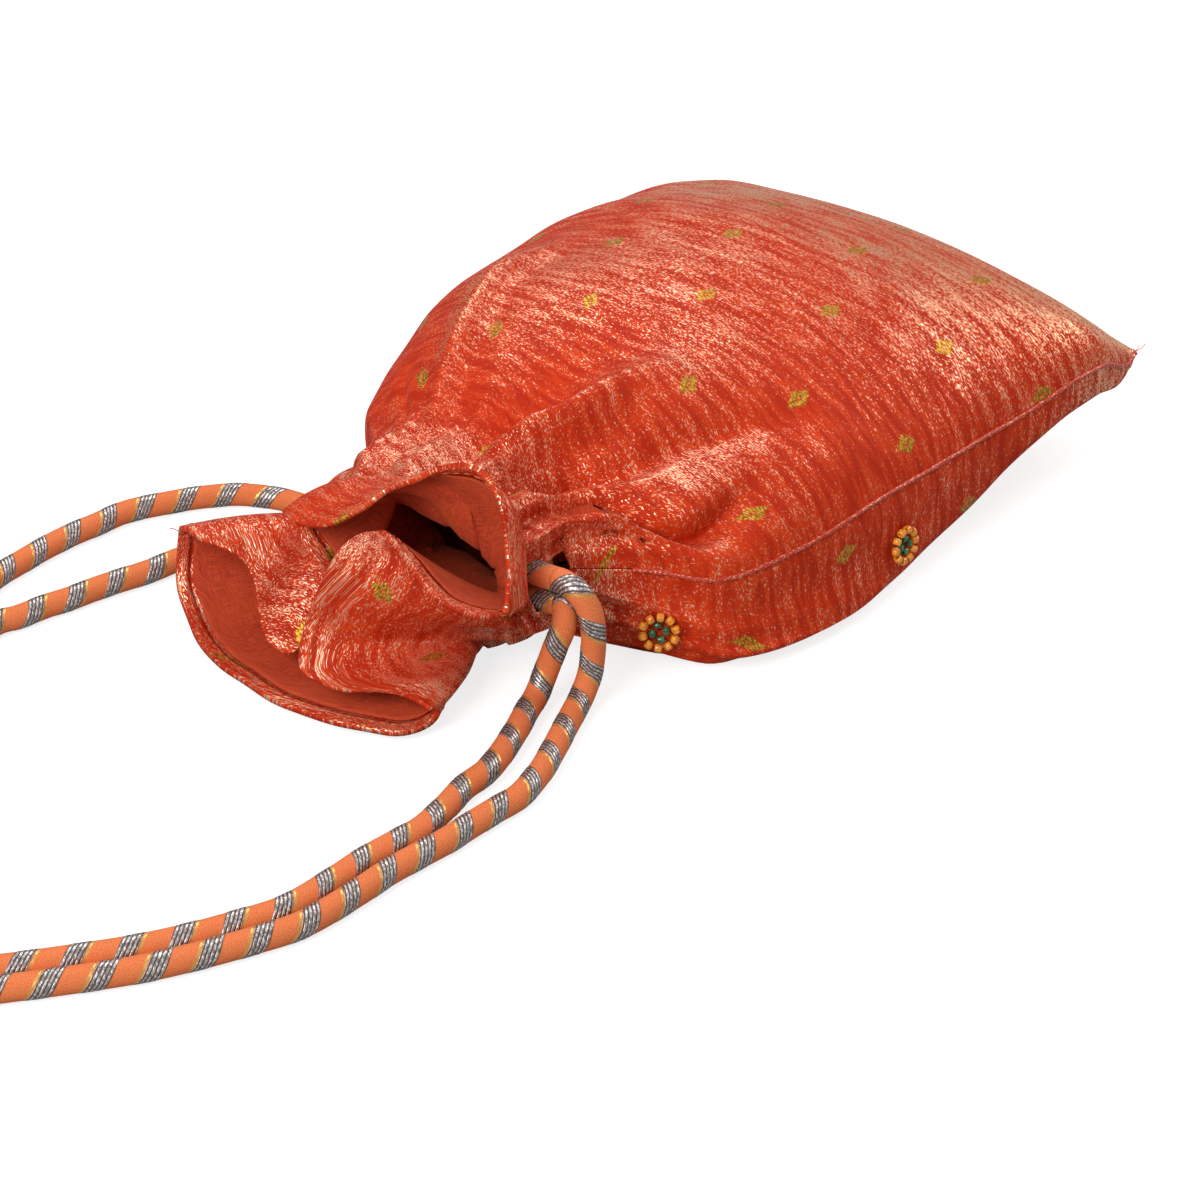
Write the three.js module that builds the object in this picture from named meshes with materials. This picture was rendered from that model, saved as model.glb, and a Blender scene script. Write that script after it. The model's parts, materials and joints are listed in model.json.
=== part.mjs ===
// Potli bag of shot tissue silk with a cotton lining, two drawstrings and small bead flowers.
// It lies on its front panel with the back panel up, drawn closed, and the frill of its mouth spreads out.
// Millimetres. +X runs from the mouth to the base seam, +Y to the far side seam and +Z up.
// The origin lies on the flat patch of cloth that the bag rests on, under its stuffed body.
import * as THREE from "three";

// Driving sizes of the bag
const bodyLength = 179; // gathered neck to base seam
const bodyWidth = 154; // widest, side seam to side seam
const bodyHeight = 61; // floor to the crown of the back panel
const neckWidth = 64;
const neckHeight = 39.5;
const neckLift = 4; // floor to the underside of the neck
const baseSeamHeight = 28.5; // floor to the base seam, where the stuffed body tapers
const bellyBulge = 7; // how far the front panel bellies out under the near side seam
const frillLength = 46; // channel to the furthest point of the rim
const pleatCount = 15; // gathers around the neck
const pleatDepth = 1.9; // height of the gathers at the neck

// Driving sizes of the cloth, cords and beads
const silkThickness = 0.6;
const liningThickness = 0.5;
const hemWidth = 3.5; // silk turned in over the edge of the lining
const liningEase = 1.5; // looseness of the lining inside the body
const cordDiameter = 6;
const beadDiameter = 2.1;
const beadBore = 0.7;
const beadLength = 1.7;
const smallBeadDiameter = 1.6;
const outerBeadCount = 10;
const innerBeadCount = 4;
const flowerDiameter = 7.8; // through the middles of the outer beads
const clearance = 0.3; // between pieces that touch
const flowerEase = 0.4; // between the two rings of beads
const slitInset = 0.4; // from the channel's stitches to the open part of the side seam

// Places in the bag's frame
const neckX = -72;
const bodyMiddleY = 3; // middle of the base seam, across the bag
const baseX = neckX + bodyLength;

// Sizes worked out from the driving ones
const columnsPerPleat = 4;
const columnCount = pleatCount * columnsPerPleat;
const backShare = 28 / 60; // share of the way round that the back panel takes
const backColumns = Math.round(columnCount * backShare);
const laneWidth = cordDiameter + clearance; // one cord in the channel
const channelWidth = 2 * laneWidth + clearance + 2 * slitInset;
const frillX = neckX - channelWidth;
const bodyLaneX = neckX - slitInset - clearance - cordDiameter / 2; // cord lane on the body's side
const mouthLaneX = bodyLaneX - laneWidth; // cord lane on the mouth's side
const liningGap = silkThickness + clearance; // outer face of the silk to outer face of the lining
const cordInset = pleatDepth + silkThickness + clearance + cordDiameter / 2;
const channelInset = cordInset + cordDiameter / 2 + clearance; // middle line of the gathers to the lining
const slitHalf = cordDiameter + 6 * clearance; // half the opening that two stacked cords leave by
const baseHalfThickness = silkThickness + clearance / 2;
const liningBaseHalfThickness = liningThickness + clearance / 2;
const liningBaseInset = 4.5; // base seam of the silk to the base seam of the lining

const clamp = (value, low, high) => Math.min(high, Math.max(low, value));
const mix = (from, to, share) => from + (to - from) * share;
const ease = (share) => {
  const inside = clamp(share, 0, 1);
  return inside * inside * (3 - 2 * inside);
};

// A smooth curve through the given values that never overshoots between them.
function profile(places, values) {
  const last = places.length - 1;
  const slopes = [];
  for (let i = 0; i < last; i += 1) {
    slopes.push((values[i + 1] - values[i]) / (places[i + 1] - places[i]));
  }
  const tangents = places.map((_, i) => {
    if (i === 0) return slopes[0];
    if (i === last) return slopes[last - 1];
    const product = slopes[i - 1] * slopes[i];
    return product <= 0 ? 0 : (2 * product) / (slopes[i - 1] + slopes[i]);
  });
  return (place) => {
    let i = 0;
    while (i < last - 1 && place > places[i + 1]) i += 1;
    const span = places[i + 1] - places[i];
    const t = clamp((place - places[i]) / span, 0, 1);
    const start = (1 + 2 * t) * (1 - t) ** 2 * values[i] + t * (1 - t) ** 2 * span * tangents[i];
    return start + t * t * (3 - 2 * t) * values[i + 1] + t * t * (t - 1) * span * tangents[i + 1];
  };
}

// The stuffed body along its length, from the neck at 0 to the base seam at 1
const stations = [0, 0.061, 0.117, 0.207, 0.33, 0.486, 0.626, 0.765, 0.877, 0.95, 0.983, 1];
const swell = profile(stations, [0, 0.222, 0.532, 0.71, 0.86, 0.96, 1, 0.955, 0.868, 0.805, 0.765, 0.745]);
const rise = profile(stations, [0, 0.17, 0.38, 0.66, 0.88, 0.98, 1, 1, 1, 1, 1, 1]);
const fall = profile(stations, [0, 0, 0, 0, 0, 0, 0.02, 0.16, 0.38, 0.62, 0.8, 1]);
const neckSpring = profile(stations, [1, 0.3, 0, 0, 0, 0, 0, 0, 0, 0, 0, 0]);
const baseLift = profile(stations, [0, 0, 0, 0, 0, 0, 0.04, 0.4, 0.68, 0.85, 0.95, 1]);
const seamLevel = profile(
  stations,
  [0.506, 0.484, 0.415, 0.359, 0.317, 0.308, 0.328, 0.333, 0.356, 0.366, 0.42, 0.5],
);
const sideDrift = profile(stations, [-0.5, -2, -3.5, -2.5, 0.3, 4, 5.3, 0.7, -3.8, -5.4, -5.7, -5.7]);
const nearSeamAngle = profile(stations, [175, 172, 169, 167, 167, 168, 170, 173, 176, 178, 179.3, 180]);
const farSeamAngle = profile(stations, [-27, -18, -10, -4, 0, 0, 0, 0, 0, 0, 0, 0]);
const nearDroop = profile(stations, [0, 0, 0, 0, 0, 0, 0, 0, 3, 7, 7, 4]);
const farDroop = profile(stations, [0, 0, 0, 0, 0, 0, 0, 0.5, 2, 3, 3, 2.5]);

// Where the gathered cloth sits round the neck: share of the way round, and its angle
const gatherAngle = profile(
  [0, 0.36, 0.4667, 0.5167, 0.6, 0.6833, 0.8, 0.9, 1],
  [175, 46, -27, -36, -58, -98, -134, -160, -185],
);

// The rim of the frill, one row for each lobe: how far it reaches from the channel, then Y and Z
const nearLipEdge = [
  [19, -38, 33], [15, -36, 38], [12, -33, 41], [9, -29, 49], [7, -25, 54], [6, -21, 57], [7, -16, 58],
];
const topEdge = [
  [10, -10, 56], [14, -6, 53], [18, -1, 50], [23, 2, 46], [27, 7, 42], [28, 14, 39], [27, 21, 38],
];
const innerFold = [
  [24, 26, 36], [24.5, 22.5, 35], [25.5, 17.5, 31], [25, 13, 26], [25, 11, 20], [30, 11, 13], [36, 12, 9],
];
const farLobe = [
  [38, 17, 10.5], [37, 21, 15], [35, 24, 21], [34, 29, 26],
  [36, 35, 28.5], [37, 41, 29], [35, 48, 28], [31, 54, 22.5],
];
const farSide = [[31, 55, 14], [34, 52, 8], [37, 46, 4]];
const floorEdge = [
  [41, 38, 2.2], [44, 28, 1.8], [45, 19, 1.8], [46, 9, 1.8],
  [45, 1, 1.8], [43, -8, 1.8], [40, -15, 1.8], [37, -21, 1.8],
];
const nearTurn = [[33, -24, 2], [29, -25.5, 3], [27.5, -26.5, 6], [30, -26, 8.5]];
const flapEdge = [[31, -21, 9.5], [35, -15, 10], [39, -9, 10], [41, -2, 10], [42, 3, 11.5], [40, 5.5, 15]];
const middleFold = [[37, 6.5, 20], [35, 5, 27], [33, 3, 34], [30, 1, 39.5], [26, -1, 42]];
const lipEdge = [[23, -4, 42], [25, -12, 40.5], [28, -20, 38.5], [29, -28, 36], [25, -35, 33.5]];
const rim = [
  nearLipEdge, topEdge, innerFold, farLobe, farSide, floorEdge, nearTurn, flapEdge, middleFold, lipEdge,
].flat();

// The frill half way between the channel and the rim: share of the way round, reach, Y and Z
const middle = [
  [0, 8, -35, 29], [0.067, 2, -26, 47], [0.133, 5, -8, 50], [0.183, 12, 2, 47], [0.233, 11, 16, 43],
  [0.267, 10, 12, 38], [0.3, 10, 9, 31], [0.333, 16, 12, 25], [0.358, 18, 20, 28],
  [0.383, 18, 24, 30], [0.417, 17, 28, 31],
  [0.467, 14, 36, 26], [0.5, 16, 42, 15], [0.55, 21, 30, 4], [0.6, 22, 5, 3], [0.667, 18, -15, 4],
  [0.7, 17, -20, 5.5], [0.733, 17, -24, 8.3], [0.75, 19, -23, 11.2], [0.783, 22, -15, 12],
  [0.817, 23, -9, 15.5], [0.842, 22, -13, 20],
  [0.867, 20, -19, 25], [0.9, 16, -21, 30], [0.933, 13, -25, 30], [0.967, 12, -30, 30], [1, 8, -35, 29],
];
const middleShares = middle.map((row) => row[0]);
const middleReach = profile(middleShares, middle.map((row) => row[1]));
const middleY = profile(middleShares, middle.map((row) => row[2]));
const middleZ = profile(middleShares, middle.map((row) => row[3]));
const frillScale = frillLength / Math.max(...rim.map((point) => point[0]));

// Large folds of the body near the neck. Each point is a distance from the neck, the share of the way
// round and the height of the ridge there, which is negative in a valley.
const folds = [
  {
    width: 4.5,
    path: [[0, 0.246, 0], [5, 0.237, 3.5], [12, 0.224, 4.5], [27, 0.206, 3.5], [40, 0.19, 2], [52, 0.175, 0]],
  },
  {
    width: 6,
    path: [[0, 0.272, 0], [7, 0.264, -3], [14, 0.256, -3.5], [30, 0.238, -3], [45, 0.213, -2], [65, 0.182, 0]],
  },
  {
    width: 7,
    path: [[0, 0.17, 0], [6, 0.17, -4], [14, 0.17, -5], [27, 0.145, -4.5], [48, 0.111, -3], [68, 0.085, 0]],
  },
  {
    width: 5,
    path: [[3, 0.107, 0], [7, 0.09, 2], [14, 0.056, 2.5], [20, 0.034, 2.5], [28, 0.022, 0]],
  },
  {
    width: 6,
    path: [[2, 0.15, 0], [8, 0.119, -3], [16, 0.073, -5], [21, 0.052, -5], [33, 0.068, -3], [48, 0.09, 0]],
  },
  {
    width: 4,
    path: [[0, 0.32, 0], [10, 0.317, 1.5], [33, 0.31, 3], [60, 0.31, 3], [84, 0.31, 0]],
  },
];
const foldGirth = 220; // girth of the body where the folds lie

// How far from the neck the gathers and the gathered angles fade out
const gatherReach = 70;
const pleatReach = 77;

const rimLengths = [0];
rim.forEach((point, i) => {
  const next = rim[(i + 1) % rim.length];
  const step = Math.hypot(next[0] - point[0], next[1] - point[1], next[2] - point[2]);
  rimLengths.push(rimLengths[i] + step);
});

// Length of rim up to a share of the way round.
function rimLengthAt(turn) {
  const place = clamp(turn, 0, 1) * rim.length;
  const i = Math.min(Math.floor(place), rim.length - 1);
  return mix(rimLengths[i], rimLengths[i + 1], place - i);
}

// Share of each panel's width at a share of the way round: 0 to 0.5 on the back, 0.5 to 1 on the front.
function panelShare(turn) {
  const backLength = rimLengthAt(backShare);
  const frontLength = rimLengthAt(1) - backLength;
  if (turn <= backShare) {
    return mix(turn / backShare, rimLengthAt(turn) / backLength, 0.5) / 2;
  }
  const even = (turn - backShare) / (1 - backShare);
  return 0.5 + mix(even, (rimLengthAt(turn) - backLength) / frontLength, 0.5) / 2;
}

// Rounded-square power of a sine or cosine.
const squared = (value, power) => Math.sign(value) * Math.abs(value) ** power;

// How far the corners of the base sag: across is -1 at the near side seam and 1 at the far one.
function droop(along, across) {
  return nearDroop(along) * Math.max(0, -across) ** 2 + farDroop(along) * Math.max(0, across) ** 2;
}

// The body's outline across the bag, at a share of the way round and a share of the way along it.
function bodyOutline(turn, along) {
  const share = panelShare(turn);
  const near = nearSeamAngle(along);
  const far = farSeamAngle(along);
  const loose = share <= 0.5 ? mix(near, far, share * 2) : mix(far, near - 360, share * 2 - 1);
  const fromNeck = along * bodyLength;
  const degrees = mix(gatherAngle(turn), loose, ease(fromNeck / gatherReach));
  const cos = Math.cos(THREE.MathUtils.degToRad(degrees));
  const sin = Math.sin(THREE.MathUtils.degToRad(degrees));
  const flatten = ease(fromNeck / 24);
  const fuller = cos < 0 ? 2.6 * (1 - 0.75 * ease((along - 0.3) / 0.45)) : 0.8;
  const underRoundness = 2 / (2.2 + fuller * flatten);
  const crownRoundness = cos < 0 ? 2 / 2.15 : mix(2 / 2.15, 1.12, ease((along - 0.3) / 0.25));
  const roundness = sin >= 0 ? crownRoundness : underRoundness;
  const blunt = mix(roundness, 0.45, ease((along - 0.7) / 0.25));
  const squareness = mix(blunt, 0.05, ease((along - 0.975) / 0.025));
  const across = squared(cos, roundness);
  const upward = squared(sin, squareness);
  const halfWidth = mix(neckWidth, bodyWidth, swell(along)) / 2;
  const fullCrown = mix(neckLift + neckHeight, bodyHeight, rise(along));
  const crown = mix(fullCrown, baseSeamHeight + baseHalfThickness, fall(along));
  const underside = neckLift * neckSpring(along) + (baseSeamHeight - baseHalfThickness) * baseLift(along);
  const level = mix(underside, crown, seamLevel(along));
  const settle = ease(along / 0.15) * (1 - ease((along - 0.6) / 0.15)) * Math.max(0, -upward);
  const bulge = bellyBulge * ease(fromNeck / 12) * (1 - ease((along - 0.25) / 0.45));
  const belly = bulge * Math.sqrt(Math.max(0, -cos)) * clamp(-2.2 * sin, 0, 1);
  const y = bodyMiddleY + sideDrift(along) + halfWidth * across - belly;
  const depth = upward >= 0 ? crown - level : level - underside;
  const z = level + depth * upward - settle - droop(along, across);
  return new THREE.Vector2(y, z);
}

// Height of the gathers and of the large folds at a place on the body.
function foldHeight(turn, fromNeck) {
  const fade = clamp(1 - fromNeck / pleatReach, 0, 1) ** 3;
  const toSeam = Math.min(turn, Math.abs(turn - backShare), 1 - turn) * columnCount;
  let height = pleatDepth * fade * ease((toSeam - 1) / 3) * Math.sin(2 * Math.PI * pleatCount * turn);
  folds.forEach(({ width, path }) => {
    let best = 0;
    let nearest = Infinity;
    for (let i = 0; i + 1 < path.length; i += 1) {
      const [x0, turn0, height0] = path[i];
      const [x1, turn1, height1] = path[i + 1];
      const a = new THREE.Vector2(x0, turn0 * foldGirth);
      const along = new THREE.Vector2(x1, turn1 * foldGirth).sub(a);
      const place = new THREE.Vector2(fromNeck, turn * foldGirth).sub(a);
      const share = clamp(place.dot(along) / along.lengthSq(), 0, 1);
      const distance = place.distanceTo(along.clone().multiplyScalar(share));
      if (distance < nearest) {
        nearest = distance;
        best = mix(height0, height1, share);
      }
    }
    height += best * Math.exp(-((nearest / width) ** 2));
  });
  return height;
}

// One row of the silk's outer face, round the body at a distance from the neck.
function bodyRow(fromNeck) {
  const along = fromNeck / bodyLength;
  const outline = [];
  for (let column = 0; column < columnCount; column += 1) {
    outline.push(bodyOutline(column / columnCount, along));
  }
  return outline.map((point, column) => {
    const before = outline[(column + columnCount - 1) % columnCount];
    const after = outline[(column + 1) % columnCount];
    const out = new THREE.Vector2(before.y - after.y, after.x - before.x).normalize();
    const height = foldHeight(column / columnCount, fromNeck);
    const z = Math.max(0, point.y + out.y * height);
    return new THREE.Vector3(neckX + fromNeck, point.x + out.x * height, z);
  });
}

const neckRow = bodyRow(0);
const neckMiddle = neckRow
  .reduce((sum, point) => sum.add(point), new THREE.Vector3())
  .divideScalar(columnCount);

// A point moved towards the middle of the neck by a distance, or away from it when negative.
function towardsNeckMiddle(point, distance) {
  const inwards = new THREE.Vector3(0, neckMiddle.y - point.y, neckMiddle.z - point.z);
  return point.clone().addScaledVector(inwards.normalize(), distance);
}

// A point a distance inside the middle line of the gathers of the neck.
function insideNeck(turn, x, distance) {
  const step = 0.5 / columnCount;
  const before = bodyOutline(turn - step < 0 ? turn - step + 1 : turn - step, 0);
  const after = bodyOutline(turn + step > 1 ? turn + step - 1 : turn + step, 0);
  const point = bodyOutline(turn, 0);
  const out = new THREE.Vector2(before.y - after.y, after.x - before.x).normalize();
  return new THREE.Vector3(x, point.x - out.x * distance, point.y - out.y * distance);
}

// One row of the neck's outer face in the channel, grown a little where the cords fill it.
function channelRow(x, growth) {
  return neckRow.map((point) => {
    const moved = towardsNeckMiddle(point, -growth);
    moved.x = x;
    return moved;
  });
}

// One row of the lining's outer face inside the channel.
function throatRow(x) {
  return neckRow.map((_, column) => insideNeck(column / columnCount, x, channelInset));
}

const channelEnd = channelRow(frillX, -1.5);

// One row of the frill, from the channel at 0 to the rim at 1.
function frillRow(share) {
  const fromChannel = 2 * (share - 0.5) * (share - 1);
  const fromMiddle = 4 * share * (1 - share);
  const fromRim = 2 * share * (share - 0.5);
  const rimCurve = (turn) => {
    const place = turn * rim.length;
    const i = Math.floor(place) % rim.length;
    const next = rim[(i + 1) % rim.length];
    return rim[i].map((value, axis) => mix(value, next[axis], place - Math.floor(place)));
  };
  return channelEnd.map((start, column) => {
    const turn = column / columnCount;
    const [reach, y, z] = rimCurve(turn);
    const rimPoint = new THREE.Vector3(frillX - reach * frillScale, y, z);
    const middleX = frillX - middleReach(turn) * frillScale;
    const middlePoint = new THREE.Vector3(middleX, middleY(turn), middleZ(turn));
    return new THREE.Vector3()
      .addScaledVector(start, fromChannel)
      .addScaledVector(middlePoint, fromMiddle)
      .addScaledVector(rimPoint, fromRim);
  });
}

// A row of points a set distance back from the rim, towards the row before it.
function hemRow(rimRow, rowBefore, distance) {
  return rimRow.map((point, column) => {
    const inwards = rowBefore[column].clone().sub(point).normalize();
    return point.clone().addScaledVector(inwards, distance);
  });
}

// Rows of the silk's outer face, from the base seam to the rim, with what each layer does there:
// how thick the silk is, how far the lining stands inside it, and whether the side seams are open.
const hemThickness = liningGap + liningThickness;
const easedGap = liningGap + liningEase;
const rimRow = frillRow(1);
const lastFrillRow = frillRow(0.7);
const bodyRows = [
  { along: 1 },
  { along: 0.98 },
  { along: 0.939, lining: liningGap + clearance },
  { along: 0.877, lining: easedGap },
  { along: 0.788, lining: easedGap },
  { along: 0.687 },
  { along: 0.581, lining: easedGap },
  { along: 0.475 },
  { along: 0.374, lining: easedGap },
  { along: 0.285 },
  { along: 0.212, lining: easedGap },
  { along: 0.151 },
  { along: 0.101, lining: easedGap },
  { along: 0.056, lining: 4 },
  { along: 0.022 },
].map(({ along, lining }) => ({ points: bodyRow(along * bodyLength), lining }));
const rows = [
  ...bodyRows,
  { points: channelRow(neckX, 0), throat: throatRow(neckX) },
  { points: channelRow(neckX - slitInset, 0.6), open: true },
  { points: channelRow((neckX + frillX) / 2, 0.8), throat: throatRow((neckX + frillX) / 2), open: true },
  { points: channelRow(frillX + slitInset, 0), open: true },
  { points: channelEnd, throat: throatRow(frillX) },
  { points: frillRow(0.13), lining: liningGap },
  { points: frillRow(0.23), lining: liningGap },
  { points: frillRow(0.34), lining: liningGap },
  { points: frillRow(0.52), lining: liningGap },
  { points: lastFrillRow, lining: liningGap },
  { points: hemRow(rimRow, lastFrillRow, hemWidth + 3 * clearance), lining: liningGap },
  { points: hemRow(rimRow, lastFrillRow, hemWidth + clearance) },
  { points: hemRow(rimRow, lastFrillRow, hemWidth), hem: true },
  { points: rimRow, hem: true },
];

// Outward normals of the silk's outer face at every point of the rows.
rows.forEach((row, i) => {
  const before = rows[Math.max(i - 1, 0)].points;
  const after = rows[Math.min(i + 1, rows.length - 1)].points;
  row.normals = row.points.map((_, column) => {
    const left = row.points[(column + columnCount - 1) % columnCount];
    const right = row.points[(column + 1) % columnCount];
    const round = right.clone().sub(left).normalize();
    const lengthwise = after[column].clone().sub(before[column]).normalize();
    return round.cross(lengthwise).normalize();
  });
});

// A layer's points in one row, a depth inside the silk's outer face.
function layer(row, depth) {
  return row.points.map((point, column) => point.clone().addScaledVector(row.normals[column], -depth));
}

// The lining's points in one row, a depth inside its outer face.
function liningLayer(row, depth) {
  if (row.throat) return row.throat.map((point) => towardsNeckMiddle(point, depth));
  return layer(row, row.lining + depth);
}

// Draws the end of a line of points back by a distance and spaces its next points out again.
function drawBack(points, distance) {
  const reach = Math.min(6, points.length - 1);
  const lengths = [0];
  for (let i = 1; i <= reach; i += 1) {
    lengths.push(lengths[i - 1] + points[i].distanceTo(points[i - 1]));
  }
  const total = lengths[reach];
  const drawn = points.map((point) => point.clone());
  for (let i = 0; i < reach; i += 1) {
    const wanted = mix(distance, total, lengths[i] / total);
    let k = 0;
    while (k < reach - 1 && wanted > lengths[k + 1]) k += 1;
    drawn[i].lerpVectors(points[k], points[k + 1], (wanted - lengths[k]) / (lengths[k + 1] - lengths[k]));
  }
  return drawn;
}

// One panel's share of a row, with a gap to the other panel at both side seams.
function panelPart(points, isBack, gap) {
  const part = isBack ? points.slice(0, backColumns + 1) : [...points.slice(backColumns), points[0]];
  return drawBack(drawBack(part, gap).reverse(), gap).reverse();
}

// A closed shell between two faces that are grids of the same size.
function shell(outerRows, innerRows) {
  const rowCount = outerRows.length;
  const width = outerRows[0].length;
  const positions = [...outerRows.flat(), ...innerRows.flat()].flatMap((point) => point.toArray());
  const indices = [];
  const at = (face, row, column) => face * rowCount * width + row * width + column;
  const quad = (a, b, c, d) => indices.push(a, c, b, a, d, c);
  for (let row = 0; row + 1 < rowCount; row += 1) {
    for (let column = 0; column + 1 < width; column += 1) {
      quad(at(0, row, column), at(0, row + 1, column), at(0, row + 1, column + 1), at(0, row, column + 1));
      quad(at(1, row, column), at(1, row, column + 1), at(1, row + 1, column + 1), at(1, row + 1, column));
    }
    quad(at(0, row, 0), at(1, row, 0), at(1, row + 1, 0), at(0, row + 1, 0));
    const last = width - 1;
    quad(at(0, row, last), at(0, row + 1, last), at(1, row + 1, last), at(1, row, last));
  }
  const end = rowCount - 1;
  for (let column = 0; column + 1 < width; column += 1) {
    quad(at(0, 0, column), at(0, 0, column + 1), at(1, 0, column + 1), at(1, 0, column));
    quad(at(0, end, column), at(1, end, column), at(1, end, column + 1), at(0, end, column + 1));
  }
  const geometry = new THREE.BufferGeometry();
  geometry.setAttribute("position", new THREE.Float32BufferAttribute(positions, 3));
  geometry.setIndex(indices);
  geometry.computeVertexNormals();
  return geometry;
}

// The silk of one panel: thin up to the hem, and as thick as all the layers in the hem.
function silkPanel(isBack) {
  const gap = (row) => (row.open ? slitHalf : clearance / 2);
  const outer = rows.map((row) => panelPart(row.points, isBack, gap(row)));
  const inner = rows.map((row) => {
    const depth = row.hem ? hemThickness : silkThickness;
    return panelPart(layer(row, depth), isBack, gap(row));
  });
  return shell(outer, inner);
}

// The lining's base seam, which lies flat between the two panels of silk and a little short of theirs.
function liningBaseRow(halfThickness) {
  const seam = rows[0].points;
  const middle = (seam[0].y + seam[backColumns].y) / 2;
  const halfWidth = (seam[backColumns].y - seam[0].y) / 2;
  const along = 1 - liningBaseInset / bodyLength;
  return seam.map((point, column) => {
    const across = (1 - liningBaseInset / halfWidth) * ((point.y - middle) / halfWidth);
    const onSeam = column === 0 || column === backColumns;
    const side = onSeam ? 0 : Math.sign(backColumns - column);
    const z = baseSeamHeight + side * halfThickness - droop(along, across);
    return new THREE.Vector3(baseX - liningBaseInset, middle + across * halfWidth, z);
  });
}

// The lining of one panel, from its own base seam to just short of the hem.
function liningPanel(isBack) {
  const lined = rows.filter((row) => row.lining !== undefined || row.throat);
  const face = (depth, baseHalfThickness) => [
    panelPart(liningBaseRow(baseHalfThickness), isBack, clearance / 2),
    ...lined.map((row) => panelPart(liningLayer(row, depth), isBack, clearance / 2)),
  ];
  return shell(face(0, liningBaseHalfThickness), face(liningThickness, clearance / 2));
}

// The middle of a side seam where a cord leaves the channel, with the way out and the way up the seam.
function seamOpening(seamColumn, x) {
  const turn = seamColumn / columnCount;
  const point = insideNeck(turn, x, 0);
  const out = point.clone().sub(insideNeck(turn, x, 1));
  const along = new THREE.Vector3(1, 0, 0).cross(out);
  return { point, out, along };
}

const strandOffset = (cordDiameter + clearance) / 2; // two strands lie one on the other in the opening
const strandSides = 10;
const runSteps = 44;
const nearLoopSteps = 80;
const farLoopSteps = 56;
const exitLength = 5; // how far the channel's cord stands out of its opening

// Extrudes a round cord along a curve.
function cordGeometry(points, steps) {
  const circle = new THREE.Shape().absarc(0, 0, cordDiameter / 2, 0, 2 * Math.PI);
  const section = new THREE.Shape(circle.getSpacedPoints(strandSides).slice(0, strandSides));
  const path = new THREE.CatmullRomCurve3(points, false, "centripetal");
  return new THREE.ExtrudeGeometry(section, { steps, extrudePath: path, bevelEnabled: false });
}

// A drawstring's run in the channel: out of its opening, once round the neck and out again.
function channelRun(seamColumn, x, skippedAfter, skippedBefore) {
  const { point, out, along } = seamOpening(seamColumn, x);
  const strand = (side, outwards, sideways) =>
    point.clone().addScaledVector(out, outwards).addScaledVector(along, side * sideways);
  const exit = (side) => [
    strand(side, exitLength, strandOffset),
    strand(side, 0, strandOffset),
    strand(side, -cordInset + 1.8, strandOffset + 0.6),
  ];
  const turns = [];
  for (let step = skippedAfter; step <= columnCount - skippedBefore; step += 2) {
    const turn = ((seamColumn + step) % columnCount) / columnCount;
    turns.push(insideNeck(turn, x, cordInset));
  }
  const first = exit(-1);
  const last = exit(1);
  const firstIsNear = first[2].distanceTo(turns[0]) < last[2].distanceTo(turns[0]);
  const [start, end] = firstIsNear ? [first, last] : [last, first];
  return [...start, ...turns, ...end.reverse()];
}

// Where a free strand starts, a clearance beyond the end of the channel's cord.
function strandStart(seamColumn, x, side, outwards) {
  const { point, out, along } = seamOpening(seamColumn, x);
  return point.clone().addScaledVector(out, outwards).addScaledVector(along, side * strandOffset);
}

// Free loops of the drawstrings, as they lie: points of their middle lines from opening to opening
const nearLoopRoute = [
  [-82, -39.5, 29.2], [-81, -42.5, 25], [-80.5, -43.5, 19], [-80.5, -43.5, 13], [-81.5, -43.5, 8],
  [-84.5, -44, 4.2], [-90, -46, 3], [-98, -49.5, 3], [-106, -53, 3], [-114, -56, 3],
  [-123, -58, 3], [-130, -57.5, 3], [-138, -57.2, 3], [-145, -57, 3], [-152, -56.2, 3],
  [-162, -55.3, 3], [-170, -55.3, 3], [-186, -54.1, 3], [-197, -50.1, 3], [-208.5, -44.9, 3],
  [-218, -39.8, 3], [-230, -31.7, 3], [-241, -23.7, 3], [-250, -17.5, 3], [-257, -13, 3],
  [-258, -8.5, 3], [-253, -7, 3], [-246, -10.5, 3], [-237, -18.3, 3], [-226, -26.3, 3],
  [-214.3, -34.2, 3], [-205.5, -39.1, 3], [-195, -43.9, 3], [-184, -47.9, 3], [-170.2, -48.7, 3],
  [-162, -48.7, 3], [-152, -49.6, 3], [-146, -50.2, 3], [-137, -49, 3], [-128, -47, 3],
  [-120, -46.5, 3], [-113, -44.5, 3], [-105, -41.5, 3], [-97, -38, 3], [-91, -36, 4.2],
  [-87.5, -35.8, 9], [-86, -36.8, 14.5], [-84.2, -37.8, 20],
];
const farLoopRoute = [
  [-75.2, 41, 11.5], [-71.5, 48, 7.5], [-67.5, 56, 4], [-66, 63, 3], [-68.5, 71.5, 3],
  [-73.5, 79.5, 3], [-81, 85.5, 3], [-89, 90, 3], [-98, 94, 3], [-107, 95, 3],
  [-116, 96, 3], [-125, 96, 3], [-132, 95.5, 3], [-139, 95, 3], [-147, 93.5, 3],
  [-158, 92.5, 3], [-166, 90, 3], [-169, 86, 3], [-166.5, 81.5, 3], [-160, 79.5, 3],
  [-152, 79, 3], [-148, 77.5, 3], [-140, 76, 3], [-134, 74.3, 3], [-127, 73, 3],
  [-123, 72, 3], [-116, 70, 3], [-112, 69, 3], [-105, 68, 3], [-99, 66.5, 3],
  [-91, 62, 3], [-84, 54, 3.2], [-79.5, 46, 3.6], [-77, 40, 5.2],
];

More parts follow.
